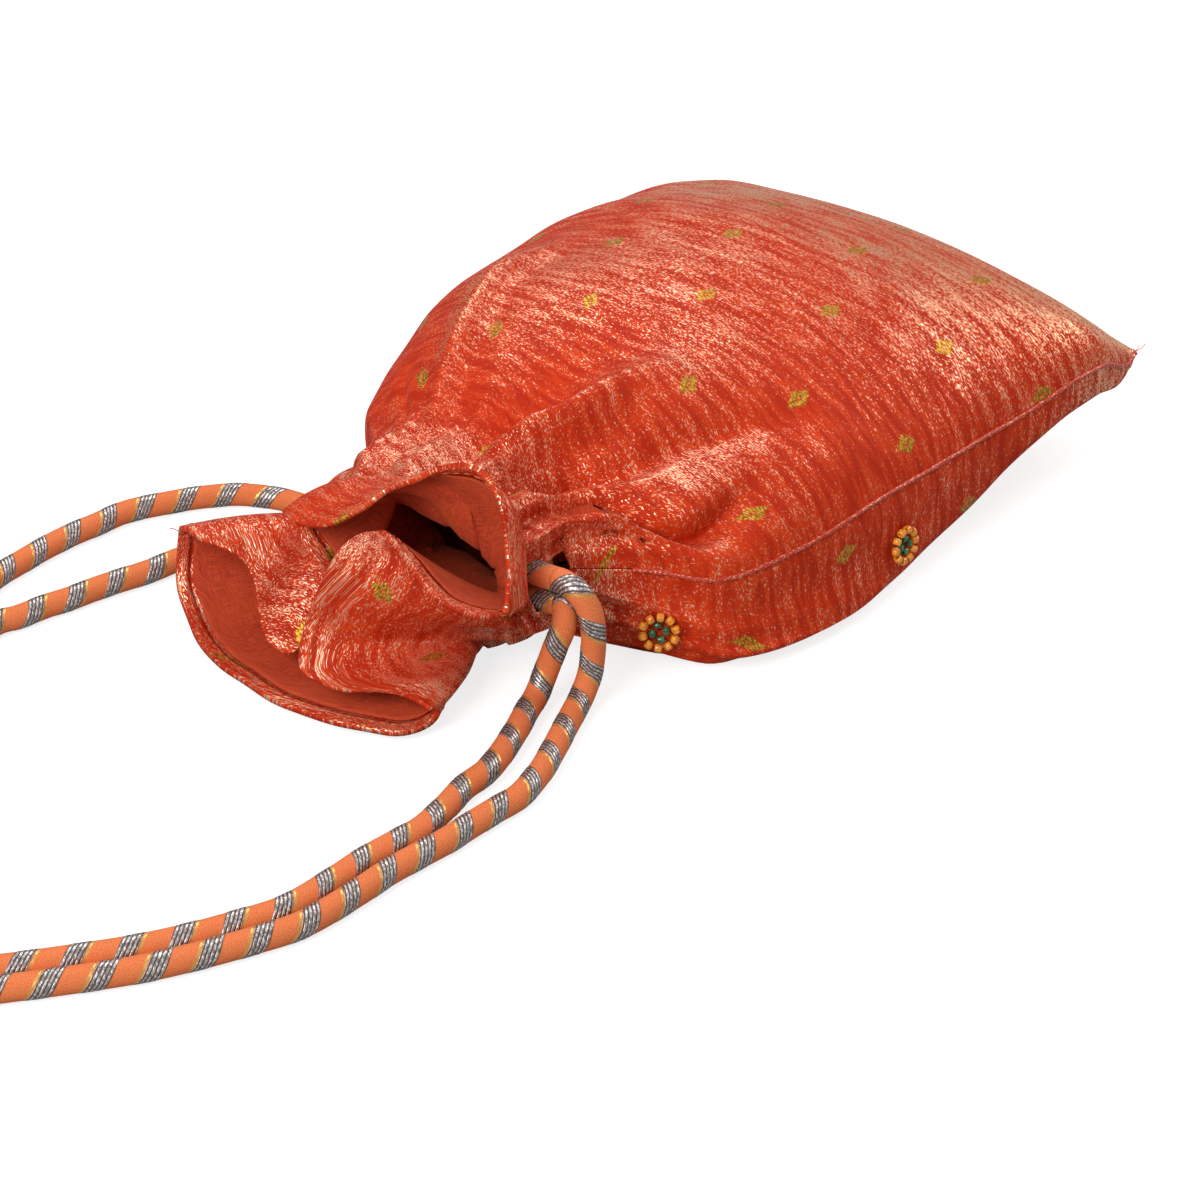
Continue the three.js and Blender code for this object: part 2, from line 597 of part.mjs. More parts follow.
const materials = {
  silk: new THREE.MeshStandardMaterial({ color: "#d4532c", roughness: 0.45, metalness: 0.35 }),
  frontSilk: new THREE.MeshStandardMaterial({ color: "#c4482a", roughness: 0.45, metalness: 0.35 }),
  lining: new THREE.MeshStandardMaterial({ color: "#cf4a20", roughness: 0.9, metalness: 0 }),
  cord: new THREE.MeshStandardMaterial({ color: "#e8703a", roughness: 0.8, metalness: 0 }),
  orangeBead: new THREE.MeshStandardMaterial({ color: "#f08a1c", roughness: 0.2, metalness: 0 }),
  greenBead: new THREE.MeshStandardMaterial({ color: "#2f6b3c", roughness: 0.2, metalness: 0 }),
};

const bag = new THREE.Group();
bag.name = "potli_bag";

function add(name, geometry, material) {
  const mesh = new THREE.Mesh(geometry, material);
  mesh.name = name;
  bag.add(mesh);
  return mesh;
}

add("outer_back_panel", silkPanel(true), materials.silk);
add("outer_front_panel", silkPanel(false), materials.frontSilk);
add("lining_back_panel", liningPanel(true), materials.lining);
add("lining_front_panel", liningPanel(false), materials.lining);

// A drawstring's free loop, from one end of its channel run to the other.
function freeLoop(seamColumn, x, firstSide, route) {
  const gap = exitLength + clearance;
  const lowest = cordDiameter / 2 + clearance / 2;
  const points = route.map(([px, py, pz]) => new THREE.Vector3(px, py, Math.max(pz, lowest)));
  const end = (side, further) => strandStart(seamColumn, x, side, gap + further);
  return [end(firstSide, 0), end(firstSide, 1), ...points, end(-firstSide, 1), end(-firstSide, 0)];
}

const nearRun = channelRun(0, mouthLaneX, 5, 5);
const farRun = channelRun(backColumns, bodyLaneX, 8, 4);
const nearLoop = freeLoop(0, mouthLaneX, -1, nearLoopRoute);
const farLoop = freeLoop(backColumns, bodyLaneX, 1, farLoopRoute);
add("near_drawstring_in_channel", cordGeometry(nearRun, runSteps), materials.cord);
add("far_drawstring_in_channel", cordGeometry(farRun, runSteps), materials.cord);
add("near_drawstring_loop", cordGeometry(nearLoop, nearLoopSteps), materials.cord);
add("far_drawstring_loop", cordGeometry(farLoop, farLoopSteps), materials.cord);

const beadTaper = 0.75; // a bead's end face, as a share of its diameter
const beadSides = 8;

// A bored bead, turned about its own length.
function beadGeometry(diameter) {
  const outside = diameter / 2;
  const bore = beadBore / 2;
  const half = beadLength / 2;
  const profilePoints = [
    new THREE.Vector2(bore, -half),
    new THREE.Vector2(outside * beadTaper, -half),
    new THREE.Vector2(outside, 0),
    new THREE.Vector2(outside * beadTaper, half),
    new THREE.Vector2(bore, half),
    new THREE.Vector2(bore, -half),
  ];
  return new THREE.LatheGeometry(profilePoints, beadSides);
}

// A point of the silk's outer face on a panel, between the rows and columns, with the outward direction.
function clothPlace(turn, x) {
  let i = 0;
  while (i < bodyRows.length && rows[i + 1].points[0].x > x) i += 1;
  const share = (rows[i].points[0].x - x) / (rows[i].points[0].x - rows[i + 1].points[0].x);
  const place = turn * columnCount;
  const column = Math.floor(place);
  const next = (column + 1) % columnCount;
  const blend = (key) => {
    const first = rows[i][key][column].clone().lerp(rows[i][key][next], place - column);
    const second = rows[i + 1][key][column].clone().lerp(rows[i + 1][key][next], place - column);
    return first.lerp(second, share);
  };
  return { point: blend("points"), out: blend("normals").normalize() };
}

// A flower of bored beads sewn on the front panel: an orange ring round four green ones.
function beadFlower(name, turn, x) {
  const nextColumn = clothPlace(turn + 1 / columnCount, x).point;
  const girth = clothPlace(turn, x).point.distanceTo(nextColumn) * columnCount;
  const ringRadius = flowerDiameter / 2;
  const middle = clothPlace(turn, x).point;
  const out = new THREE.Vector3();
  [[0, 0], [ringRadius, 0], [-ringRadius, 0], [0, ringRadius], [0, -ringRadius]].forEach(([along, round]) => {
    out.add(clothPlace(turn + round / girth, x + along).out);
  });
  out.normalize();
  const side = new THREE.Vector3(1, 0, 0).projectOnPlane(out).normalize();
  const up = out.clone().cross(side);
  const innerRadius = ringRadius - (beadDiameter + smallBeadDiameter) / 2 - flowerEase;
  const rings = [
    { colour: "orange", count: outerBeadCount, radius: ringRadius, diameter: beadDiameter },
    { colour: "green", count: innerBeadCount, radius: innerRadius, diameter: smallBeadDiameter },
  ];
  rings.forEach(({ colour, count, radius, diameter }) => {
    for (let i = 0; i < count; i += 1) {
      const angle = (2 * Math.PI * i) / count;
      const offset = side.clone().multiplyScalar(radius * Math.cos(angle));
      offset.addScaledVector(up, radius * Math.sin(angle));
      const clothHeight = (along, round) =>
        clothPlace(turn + round / girth, x + along).point.sub(middle).dot(out);
      const spots = [[0, 0], [1, 0], [-1, 0], [0, 1], [0, -1]].map(([along, round]) =>
        clothHeight(offset.x + (along * diameter) / 2, offset.dot(up) + (round * diameter) / 2));
      const height = Math.max(...spots) + diameter / 2 + clearance;
      const beadName = name + "_" + colour + "_bead_" + (i + 1);
      const bead = add(beadName, beadGeometry(diameter), materials[colour + "Bead"]);
      bead.position.copy(middle).add(offset).addScaledVector(out, height);
      bead.quaternion.setFromUnitVectors(new THREE.Vector3(0, 1, 0), out.clone().cross(offset).normalize());
    }
  });
}

beadFlower("side_flower", 0.957, 4);
beadFlower("neck_flower", 0.9, -60);

export default bag;
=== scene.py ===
"""A potli bag of shot tissue silk, lying on its front panel with its mouth drawn closed.

All sizes are in millimetres in the row frame and are turned into metres when a mesh is made.
"""

import json
import logging
import math
from dataclasses import dataclass
from enum import Enum
from typing import Callable, Sequence, Union

import bpy
import numpy as np
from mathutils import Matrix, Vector

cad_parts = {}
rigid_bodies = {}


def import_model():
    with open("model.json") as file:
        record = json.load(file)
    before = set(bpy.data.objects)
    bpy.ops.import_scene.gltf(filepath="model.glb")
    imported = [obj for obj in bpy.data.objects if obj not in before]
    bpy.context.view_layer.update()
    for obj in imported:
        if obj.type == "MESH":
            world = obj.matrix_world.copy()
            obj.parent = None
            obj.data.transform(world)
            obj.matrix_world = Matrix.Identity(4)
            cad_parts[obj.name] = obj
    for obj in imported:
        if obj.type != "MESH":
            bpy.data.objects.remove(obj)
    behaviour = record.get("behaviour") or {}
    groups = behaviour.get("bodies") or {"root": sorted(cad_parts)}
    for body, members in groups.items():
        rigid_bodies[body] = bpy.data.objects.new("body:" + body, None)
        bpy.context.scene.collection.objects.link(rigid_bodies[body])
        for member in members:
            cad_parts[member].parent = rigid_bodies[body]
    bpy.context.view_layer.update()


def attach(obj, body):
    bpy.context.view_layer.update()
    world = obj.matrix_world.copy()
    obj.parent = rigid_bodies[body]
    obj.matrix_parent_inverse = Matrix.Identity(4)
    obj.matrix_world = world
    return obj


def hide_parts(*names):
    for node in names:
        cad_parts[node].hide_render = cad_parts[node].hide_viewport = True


LOG = logging.getLogger("potli_bag")
Numbers = Union[float, np.ndarray]  # one number, or an array of them
SocketValue = Union[bpy.types.NodeSocket, float, Sequence[float]]  # what a node's input takes
MM = 0.001
FINE = 6  # fine columns for each column of the CAD solids
COLUMNS = 60
BACK_COLUMNS = 28
TURN = 2 * math.pi
GIRTH = 220.0  # millimetres that a whole turn stands for in the folds' own measure
CREASE_DEPTH = 1.5  # how much deeper the fine creases are than their written heights


@dataclass(frozen=True)
class BodySizes:
    """Sizes of the stuffed body and its neck, in millimetres."""

    length: float = 179.0
    width: float = 154.0
    height: float = 61.0
    neck_width: float = 64.0
    neck_height: float = 39.5
    neck_lift: float = 4.0
    base_seam_height: float = 28.5
    belly: float = 7.0
    neck_x: float = -72.0
    middle_y: float = 3.0


@dataclass(frozen=True)
class ClothSizes:
    """Sizes of the cloth and its gathers, in millimetres."""

    silk: float = 0.6
    lining: float = 0.5
    ease: float = 1.5
    clearance: float = 0.3
    pleats: int = 15
    pleat_depth: float = 1.9
    frill_length: float = 46.0


@dataclass(frozen=True)
class CordSizes:
    """Sizes of the drawstrings, in millimetres."""

    diameter: float = 6.0
    sides: int = 28
    slit_inset: float = 0.4
    exit_length: float = 5.0


@dataclass(frozen=True)
class ClothCut:
    """Flat size of each panel before it is sewn and gathered, in millimetres."""

    width: float = 184.0
    silk_length: float = 256.0
    lining_length: float = 240.0


class Panel(Enum):
    """The two panels that the bag is sewn from."""

    BACK = "back"
    FRONT = "front"


def mix(start: Numbers, end: Numbers, share: Numbers) -> Numbers:
    """Blends two values.

    Args:
        start: Value at share 0.
        end: Value at share 1.
        share: Place between them.

    Returns:
        The blended value.
    """
    return start + (end - start) * share


def ease(share: Numbers) -> Numbers:
    """Smooth step from 0 to 1.

    Args:
        share: Place along the step, clamped to 0 and 1.

    Returns:
        The eased share.
    """
    inside = np.clip(share, 0.0, 1.0)
    return inside * inside * (3 - 2 * inside)


class Profile:
    """A smooth curve through given values that never overshoots between them."""

    def __init__(self, places: Sequence[float], values: Sequence[float]) -> None:
        """Keeps the values and works out the slope at each.

        Args:
            places: Where the values stand, rising.
            values: The values.
        """
        self.x = np.asarray(places, float)
        self.y = np.asarray(values, float)
        slope = np.diff(self.y) / np.diff(self.x)
        product = slope[:-1] * slope[1:]
        total = slope[:-1] + slope[1:]
        self.tangent = np.zeros_like(self.y)
        self.tangent[0] = slope[0]
        self.tangent[-1] = slope[-1]
        self.tangent[1:-1] = np.where(product > 0, 2 * product / np.where(product > 0, total, 1), 0)

    def __call__(self, place: Numbers) -> Numbers:
        """Value at a place.

        Args:
            place: One place or an array of them.

        Returns:
            The curve's value there.
        """
        i = np.clip(np.searchsorted(self.x, place, side="right") - 1, 0, len(self.x) - 2)
        span = self.x[i + 1] - self.x[i]
        t = np.clip((place - self.x[i]) / span, 0, 1)
        start = (1 + 2 * t) * (1 - t) ** 2 * self.y[i] + t * (1 - t) ** 2 * span * self.tangent[i]
        return start + t * t * (3 - 2 * t) * self.y[i + 1] + t * t * (t - 1) * span * self.tangent[i + 1]


STATIONS = (0, 0.061, 0.117, 0.207, 0.33, 0.486, 0.626, 0.765, 0.877, 0.95, 0.983, 1)

# Rim of the frill: reach from the channel, Y and Z, in order round the mouth from the near side seam
RIM = np.array([
    (19, -38, 33), (15, -36, 38), (12, -33, 41), (9, -29, 49), (7, -25, 54), (6, -21, 57), (7, -16, 58),
    (10, -10, 56), (14, -6, 53), (18, -1, 50), (23, 2, 46), (27, 7, 42), (28, 14, 39), (27, 21, 38),
    (24, 26, 36), (24.5, 22.5, 35), (25.5, 17.5, 31), (25, 13, 26), (25, 11, 20), (30, 11, 13), (36, 12, 9),
    (38, 17, 10.5), (37, 21, 15), (35, 24, 21), (34, 29, 26), (36, 35, 28.5), (37, 41, 29), (35, 48, 28),
    (31, 54, 22.5), (31, 55, 14), (34, 52, 8), (37, 46, 4), (41, 38, 2.2), (44, 28, 1.8), (45, 19, 1.8),
    (46, 9, 1.8), (45, 1, 1.8), (43, -8, 1.8), (40, -15, 1.8), (37, -21, 1.8), (33, -24, 2), (29, -25.5, 3),
    (27.5, -26.5, 6), (30, -26, 8.5), (31, -21, 9.5), (35, -15, 10), (39, -9, 10), (41, -2, 10),
    (42, 3, 11.5), (40, 5.5, 15), (37, 6.5, 20), (35, 5, 27), (33, 3, 34), (30, 1, 39.5), (26, -1, 42),
    (23, -4, 42), (25, -12, 40.5), (28, -20, 38.5), (29, -28, 36), (25, -35, 33.5),
], float)

# The frill half way out: share of the way round, reach, Y and Z
MIDDLE = np.array([
    (0, 8, -35, 29), (0.067, 2, -26, 47), (0.133, 5, -8, 50), (0.183, 12, 2, 47), (0.233, 11, 16, 43),
    (0.267, 10, 12, 38), (0.3, 10, 9, 31), (0.333, 16, 12, 25), (0.358, 18, 20, 28), (0.383, 18, 24, 30),
    (0.417, 17, 28, 31), (0.467, 14, 36, 26), (0.5, 16, 42, 15), (0.55, 21, 30, 4), (0.6, 22, 5, 3),
    (0.667, 18, -15, 4), (0.7, 17, -20, 5.5), (0.733, 17, -24, 8.3), (0.75, 19, -23, 11.2),
    (0.783, 22, -15, 12), (0.817, 23, -9, 15.5), (0.842, 22, -13, 20), (0.867, 20, -19, 25),
    (0.9, 16, -21, 30), (0.933, 13, -25, 30), (0.967, 12, -30, 30), (1, 8, -35, 29),
], float)


@dataclass(frozen=True)
class Fold:
    """A large fold of the body near the neck.

    Each point of the path is a distance from the neck, a share of the way round and a height.
    """

    width: float
    path: tuple


FOLDS = (
    Fold(4.5, (
        (0, 0.246, 0), (5, 0.237, 3.5), (12, 0.224, 4.5), (27, 0.206, 3.5), (40, 0.19, 2),
        (52, 0.175, 0),
    )),
    Fold(6, (
        (0, 0.272, 0), (7, 0.264, -3), (14, 0.256, -3.5), (30, 0.238, -3), (45, 0.213, -2),
        (65, 0.182, 0),
    )),
    Fold(7, (
        (0, 0.17, 0), (6, 0.17, -4), (14, 0.17, -5), (27, 0.145, -4.5), (48, 0.111, -3),
        (68, 0.085, 0),
    )),
    Fold(5, ((3, 0.107, 0), (7, 0.09, 2), (14, 0.056, 2.5), (20, 0.034, 2.5), (28, 0.022, 0))),
    Fold(6, (
        (2, 0.15, 0), (8, 0.119, -3), (16, 0.073, -5), (21, 0.052, -5), (33, 0.068, -3),
        (48, 0.09, 0),
    )),
    Fold(4, ((0, 0.32, 0), (10, 0.317, 1.5), (33, 0.31, 3), (60, 0.31, 3), (84, 0.31, 0))),
)

# Fine creases that only the cloth's surface shows
CREASES = (
    Fold(2.4, (
        (0, 0.246, 0), (5, 0.237, 1.6), (12, 0.224, 2.4), (27, 0.206, 2.2), (40, 0.19, 1.2),
        (56, 0.172, 0),
    )),
    Fold(3.0, ((0, 0.262, 0), (7, 0.257, -1.3), (16, 0.246, -1.8), (30, 0.232, -1.4), (52, 0.2, 0))),
    Fold(2.6, (
        (0, 0.165, 0), (7, 0.17, -1.8), (14, 0.172, -2.6), (30, 0.15, -2.2), (48, 0.118, -1.0),
        (66, 0.09, 0),
    )),
    Fold(2.8, (
        (5, 0.135, 0), (12, 0.098, -1.6), (18, 0.064, -2.4), (22, 0.052, -2.2),
        (30, 0.064, -1.2), (46, 0.085, 0),
    )),
    Fold(2.2, ((3, 0.11, 0), (8, 0.092, 1.2), (15, 0.056, 1.6), (22, 0.034, 1.2), (30, 0.022, 0))),
    Fold(2.0, ((0, 0.325, 0), (8, 0.322, 1.2), (30, 0.318, 1.8), (60, 0.316, 1.6), (95, 0.312, 0))),
    Fold(2.6, ((0, 0.3, 0), (8, 0.302, -1.2), (30, 0.302, -1.6), (60, 0.302, -1.2), (90, 0.3, 0))),
    Fold(1.8, ((0, 0.2, 0), (6, 0.2, -1.0), (16, 0.196, -1.2), (34, 0.18, 0))),
    Fold(1.3, ((0, 0.29, 0), (5, 0.291, -0.8), (14, 0.29, -0.8), (26, 0.284, 0))),
    Fold(1.4, ((0, 0.36, 0), (6, 0.362, -1.0), (18, 0.362, -0.9), (34, 0.358, 0))),
    Fold(1.6, ((0, 0.085, 0), (5, 0.07, -0.9), (10, 0.05, -0.9), (16, 0.03, 0))),
    Fold(1.5, ((0, 0.14, 0), (5, 0.136, -0.9), (10, 0.12, -0.9), (17, 0.1, 0))),
)


class BagForm:
    """The bag's shape: every point of the silk, the lining and the cords' openings."""

    def __init__(self, body: BodySizes, cloth: ClothSizes, cord: CordSizes) -> None:
        """Works out the fitted sizes and the long profiles.

        Args:
            body: Sizes of the body.
            cloth: Sizes of the cloth.
            cord: Sizes of the cords.
        """
        self.body = body
        self.cloth = cloth
        self.cord = cord
        self.count = COLUMNS * FINE
        self.back_count = BACK_COLUMNS * FINE
        self.back_share = BACK_COLUMNS / COLUMNS
        lane = cord.diameter + cloth.clearance
        self.channel = 2 * lane + cloth.clearance + 2 * cord.slit_inset
        self.frill_x = body.neck_x - self.channel
        self.body_lane = body.neck_x - cord.slit_inset - cloth.clearance - cord.diameter / 2
        self.mouth_lane = self.body_lane - lane
        self.base_half = cloth.silk + cloth.clearance / 2
        self.cord_inset = cloth.pleat_depth + cloth.silk + cloth.clearance + cord.diameter / 2
        self.channel_inset = self.cord_inset + cord.diameter / 2 + cloth.clearance
        self.slit_half = cord.diameter + 6 * cloth.clearance
        self.lining_gap = cloth.silk + cloth.clearance
        self.swell = Profile(
            STATIONS, (0, 0.222, 0.532, 0.71, 0.86, 0.96, 1, 0.955, 0.868, 0.805, 0.765, 0.745))
        self.rise = Profile(STATIONS, (0, 0.17, 0.38, 0.66, 0.88, 0.98, 1, 1, 1, 1, 1, 1))
        self.fall = Profile(STATIONS, (0, 0, 0, 0, 0, 0, 0.02, 0.16, 0.38, 0.62, 0.8, 1))
        self.spring = Profile(STATIONS, (1, 0.3, 0, 0, 0, 0, 0, 0, 0, 0, 0, 0))
        self.lift = Profile(STATIONS, (0, 0, 0, 0, 0, 0, 0.04, 0.4, 0.68, 0.85, 0.95, 1))
        self.level = Profile(
            STATIONS, (0.506, 0.484, 0.415, 0.359, 0.317, 0.308, 0.328, 0.333, 0.356, 0.366, 0.42, 0.5))
        self.drift = Profile(STATIONS, (-0.5, -2, -3.5, -2.5, 0.3, 4, 5.3, 0.7, -3.8, -5.4, -5.7, -5.7))
        self.near_angle = Profile(STATIONS, (175, 172, 169, 167, 167, 168, 170, 173, 176, 178, 179.3, 180))
        self.far_angle = Profile(STATIONS, (-27, -18, -10, -4, 0, 0, 0, 0, 0, 0, 0, 0))
        self.near_droop = Profile(STATIONS, (0, 0, 0, 0, 0, 0, 0, 0, 3, 7, 7, 4))
        self.far_droop = Profile(STATIONS, (0, 0, 0, 0, 0, 0, 0, 0.5, 2, 3, 3, 2.5))
        self.gather = Profile(
            (0, 0.36, 0.4667, 0.5167, 0.6, 0.6833, 0.8, 0.9, 1),
            (175, 46, -27, -36, -58, -98, -134, -160, -185))
        steps = np.linalg.norm(np.roll(RIM, -1, 0) - RIM, axis=1)
        self.rim_lengths = np.concatenate([[0], np.cumsum(steps)])
        self.frill_scale = cloth.frill_length / RIM[:, 0].max()
        self.middle = [Profile(MIDDLE[:, 0], MIDDLE[:, k]) for k in (1, 2, 3)]
        middle_row = self.body_row(np.arange(COLUMNS) / COLUMNS, 0.0, fine=False)
        self.neck_middle = middle_row.mean(0)
        self.turns = np.arange(self.count) / self.count

    def panel_share(self, turn: np.ndarray) -> np.ndarray:
        """Share of each panel's width: 0 to 0.5 on the back and 0.5 to 1 on the front.

        Args:
            turn: Share of the way round.

        Returns:
            The share of the panels' width there.
        """
        length = np.interp(np.clip(turn, 0, 1) * len(RIM), np.arange(len(RIM) + 1), self.rim_lengths)
        back = np.interp(self.back_share * len(RIM), np.arange(len(RIM) + 1), self.rim_lengths)
        front = self.rim_lengths[-1] - back
        on_back = mix(turn / self.back_share, length / back, 0.5) / 2
        even = (turn - self.back_share) / (1 - self.back_share)
        on_front = 0.5 + mix(even, (length - back) / front, 0.5) / 2
        return np.where(turn <= self.back_share, on_back, on_front)

    def droop(self, along: float, across: np.ndarray) -> np.ndarray:
        """How far the corners of the base sag.

        Args:
            along: Share of the way from the neck to the base seam.
            across: -1 at the near side seam and 1 at the far one.

        Returns:
            The sag in millimetres.
        """
        near = self.near_droop(along) * np.clip(-across, 0, None) ** 2
        return near + self.far_droop(along) * np.clip(across, 0, None) ** 2

    def outline(self, turn: np.ndarray, along: float) -> np.ndarray:
        """The body's outline across the bag.

        Args:
            turn: Shares of the way round.
            along: Share of the way from the neck to the base seam.

        Returns:
            Y and Z of each point.
        """
        body = self.body
        turn = np.mod(turn, 1.0) if np.any((turn < 0) | (turn > 1)) else turn
        share = self.panel_share(turn)
        near = self.near_angle(along)
        far = self.far_angle(along)
        loose = np.where(share <= 0.5, mix(near, far, share * 2), mix(far, near - 360, share * 2 - 1))
        from_neck = along * body.length
        angle = np.radians(mix(self.gather(turn), loose, ease(from_neck / 70)))
        cos = np.cos(angle)
        sin = np.sin(angle)
        fuller = np.where(cos < 0, 2.6 * (1 - 0.75 * ease((along - 0.3) / 0.45)), 0.8)
        under = 2 / (2.2 + fuller * ease(from_neck / 24))
        crown_round = np.where(cos < 0, 2 / 2.15, mix(2 / 2.15, 1.12, ease((along - 0.3) / 0.25)))
        roundness = np.where(sin >= 0, crown_round, under)
        blunt = mix(roundness, 0.45, ease((along - 0.7) / 0.25))
        squareness = mix(blunt, 0.05, ease((along - 0.975) / 0.025))
        across = np.sign(cos) * np.abs(cos) ** roundness
        upward = np.sign(sin) * np.abs(sin) ** squareness
        half_width = mix(body.neck_width, body.width, self.swell(along)) / 2
        full_crown = mix(body.neck_lift + body.neck_height, body.height, self.rise(along))
        crown = mix(full_crown, body.base_seam_height + self.base_half, self.fall(along))
        underside = body.neck_lift * self.spring(along)
        underside += (body.base_seam_height - self.base_half) * self.lift(along)
        level = mix(underside, crown, self.level(along))
        settle = ease(along / 0.15) * (1 - ease((along - 0.6) / 0.15)) * np.clip(-upward, 0, None)
        bulge = body.belly * ease(from_neck / 12) * (1 - ease((along - 0.25) / 0.45))
        belly = bulge * np.sqrt(np.clip(-cos, 0, None)) * np.clip(-2.2 * sin, 0, 1)
        y = body.middle_y + self.drift(along) + half_width * across - belly
        depth = np.where(upward >= 0, crown - level, level - underside)
        z = level + depth * upward - settle - self.droop(along, across)
        return np.stack([y, z], -1)

    @staticmethod
    def fold_sum(folds: Sequence[Fold], turn: np.ndarray, from_neck: float) -> np.ndarray:
        """Adds up the heights of folds at a place.

        Args:
            folds: The folds.
            turn: Shares of the way round.
            from_neck: Distance from the neck.

        Returns:
            The height of the folds there.
        """
        total = np.zeros_like(turn)
        place = np.stack([np.full_like(turn, from_neck), turn * GIRTH], -1)
        for fold in folds:
            best = np.zeros_like(turn)
            nearest = np.full_like(turn, np.inf)
            for (x0, t0, h0), (x1, t1, h1) in zip(fold.path, fold.path[1:]):
                a = np.array([x0, t0 * GIRTH])
                along = np.array([x1, t1 * GIRTH]) - a
                share = np.clip((place - a) @ along / (along @ along), 0, 1)
                distance = np.linalg.norm(place - a - share[:, None] * along, axis=1)
                closer = distance < nearest
                best = np.where(closer, mix(h0, h1, share), best)
                nearest = np.where(closer, distance, nearest)
            total += best * np.exp(-((nearest / fold.width) ** 2))
        return total

    def fold_height(self, turn: np.ndarray, from_neck: float, fine: bool = True) -> np.ndarray:
        """Height of the gathers and folds at a place on the body.

        Args:
            turn: Shares of the way round.
            from_neck: Distance from the neck.
            fine: Whether the fine creases are added.

        Returns:
            The height in millimetres, outwards.
        """
        fade = max(0.0, 1 - from_neck / 77) ** 3
        to_seam = np.minimum(np.minimum(turn, np.abs(turn - self.back_share)), 1 - turn) * COLUMNS
        near_seam = ease((to_seam - 1) / 3)
        height = self.cloth.pleat_depth * fade * near_seam * np.sin(TURN * self.cloth.pleats * turn)
        height = height + self.fold_sum(FOLDS, turn, from_neck)
        if not fine:
            return height
        height += CREASE_DEPTH * self.fold_sum(CREASES, turn, from_neck) * near_seam
        close = math.exp(-from_neck / 16)
        wander = 2.3 * math.sin(from_neck / 9)
        ripple = np.sin(TURN * 37 * turn + 1.1) + 0.7 * np.sin(TURN * 61 * turn + wander)
        height += 0.33 * close * near_seam * ripple
        return height + near_seam * self.unevenness(turn, from_neck)

    def unevenness(self, turn: np.ndarray, from_neck: float) -> np.ndarray:
        """Shallow dents and swellings of the stuffed cloth.

        Args:
            turn: Shares of the way round.
            from_neck: Distance from the neck.

        Returns:
            The height in millimetres.
        """
        waves = (
            (0.42, 0.050, 0.021, 0.3), (0.34, -0.043, 0.049, 1.9), (0.3, 0.088, -0.034, 4.1),
            (0.2, 0.13, 0.071, 2.6), (0.16, -0.17, 0.11, 5.2), (0.12, 0.21, -0.16, 0.9),
        )
        total = np.zeros_like(turn)
        for height, around, lengthwise, phase in waves:
            total += height * np.sin(around * turn * 2 * GIRTH + 2 * lengthwise * from_neck + phase)
        edge = ease((self.body.length - from_neck) / 25)
        return total * edge * 0.55

    def body_row(self, turn: np.ndarray, from_neck: float, fine: bool = True) -> np.ndarray:
        """One row of the silk's outer face round the body.

        Args:
            turn: Shares of the way round.
            from_neck: Distance from the neck.
            fine: Whether the fine creases are added.

        Returns:
            The row's points.
        """
        along = from_neck / self.body.length
        step = 1 / COLUMNS if not fine else 0.4 / COLUMNS
        here = self.outline(turn, along)
        before = self.outline(np.mod(turn - step, 1), along)
        after = self.outline(np.mod(turn + step, 1), along)
        out = np.stack([before[:, 1] - after[:, 1], after[:, 0] - before[:, 0]], -1)
        out /= np.linalg.norm(out, axis=1)[:, None] + 1e-9
        height = self.fold_height(turn, from_neck, fine)
        points = here + out * height[:, None]
        z = np.maximum(0.0, points[:, 1])
        return np.stack([np.full_like(z, self.body.neck_x + from_neck), points[:, 0], z], -1)

    def towards_middle(self, points: np.ndarray, distance: Numbers) -> np.ndarray:
        """Moves points towards the middle of the neck.

        Args:
            points: The points.
            distance: How far, or outwards when negative.

        Returns:
            The moved points.
        """
        inwards = self.neck_middle - points
        inwards[:, 0] = 0
        inwards /= np.linalg.norm(inwards, axis=1)[:, None]
        return points + inwards * np.asarray(distance).reshape(-1, 1)

    def inside_neck(self, turn: float, x: float, distance: float) -> np.ndarray:
        """A point inside the middle line of the neck's gathers.

        Args:
            turn: Share of the way round.
            x: Place along the bag.
            distance: How far inside.

        Returns:
            The point.
        """
        step = 0.5 / COLUMNS
        row = self.outline(np.mod(np.array([turn - step, turn, turn + step]), 1.0), 0.0)
        out = np.array([row[0, 1] - row[2, 1], row[2, 0] - row[0, 0]])
        out /= np.linalg.norm(out)
        return np.array([x, *(row[1] - out * distance)])

    def channel_row(self, x: float) -> np.ndarray:
        """One row of the channel's outer face.

        Args:
            x: Place along the bag.

        Returns:
            The row's points.
        """
        inset = self.cord.slit_inset
        start = self.body.neck_x
        places = (self.frill_x, self.frill_x + inset, (start + self.frill_x) / 2, start - inset, start)
        growth = float(Profile(places, (-1.5, 0, 0.8, 0.6, 0))(x))
        row = self.body_row(self.turns, 0.0)
        share = (start - x) / self.channel
        puckers = 0.25 * np.sin(TURN * 46 * self.turns + 5 * share) * math.sin(math.pi * share)
        moved = self.towards_middle(row, -growth - puckers)
        moved[:, 0] = x
        return moved

    def rim_curve(self, turn: np.ndarray) -> np.ndarray:
        """The rim as a smooth closed curve.

        Args:
            turn: Shares of the way round.

        Returns:
            Reach, Y and Z of each point.
        """
        count = len(RIM)
        place = np.mod(turn, 1.0) * count
        i = np.floor(place).astype(int)
        t = (place - i)[:, None]
        p0, p1, p2, p3 = (RIM[(i + k) % count] for k in (-1, 0, 1, 2))
        smooth = 0.5 * (2 * p1 + (p2 - p0) * t + (2 * p0 - 5 * p1 + 4 * p2 - p3) * t**2
                        + (3 * p1 - p0 - 3 * p2 + p3) * t**3)
        smooth[:, 2] = np.maximum(smooth[:, 2], 1.6)
        return smooth

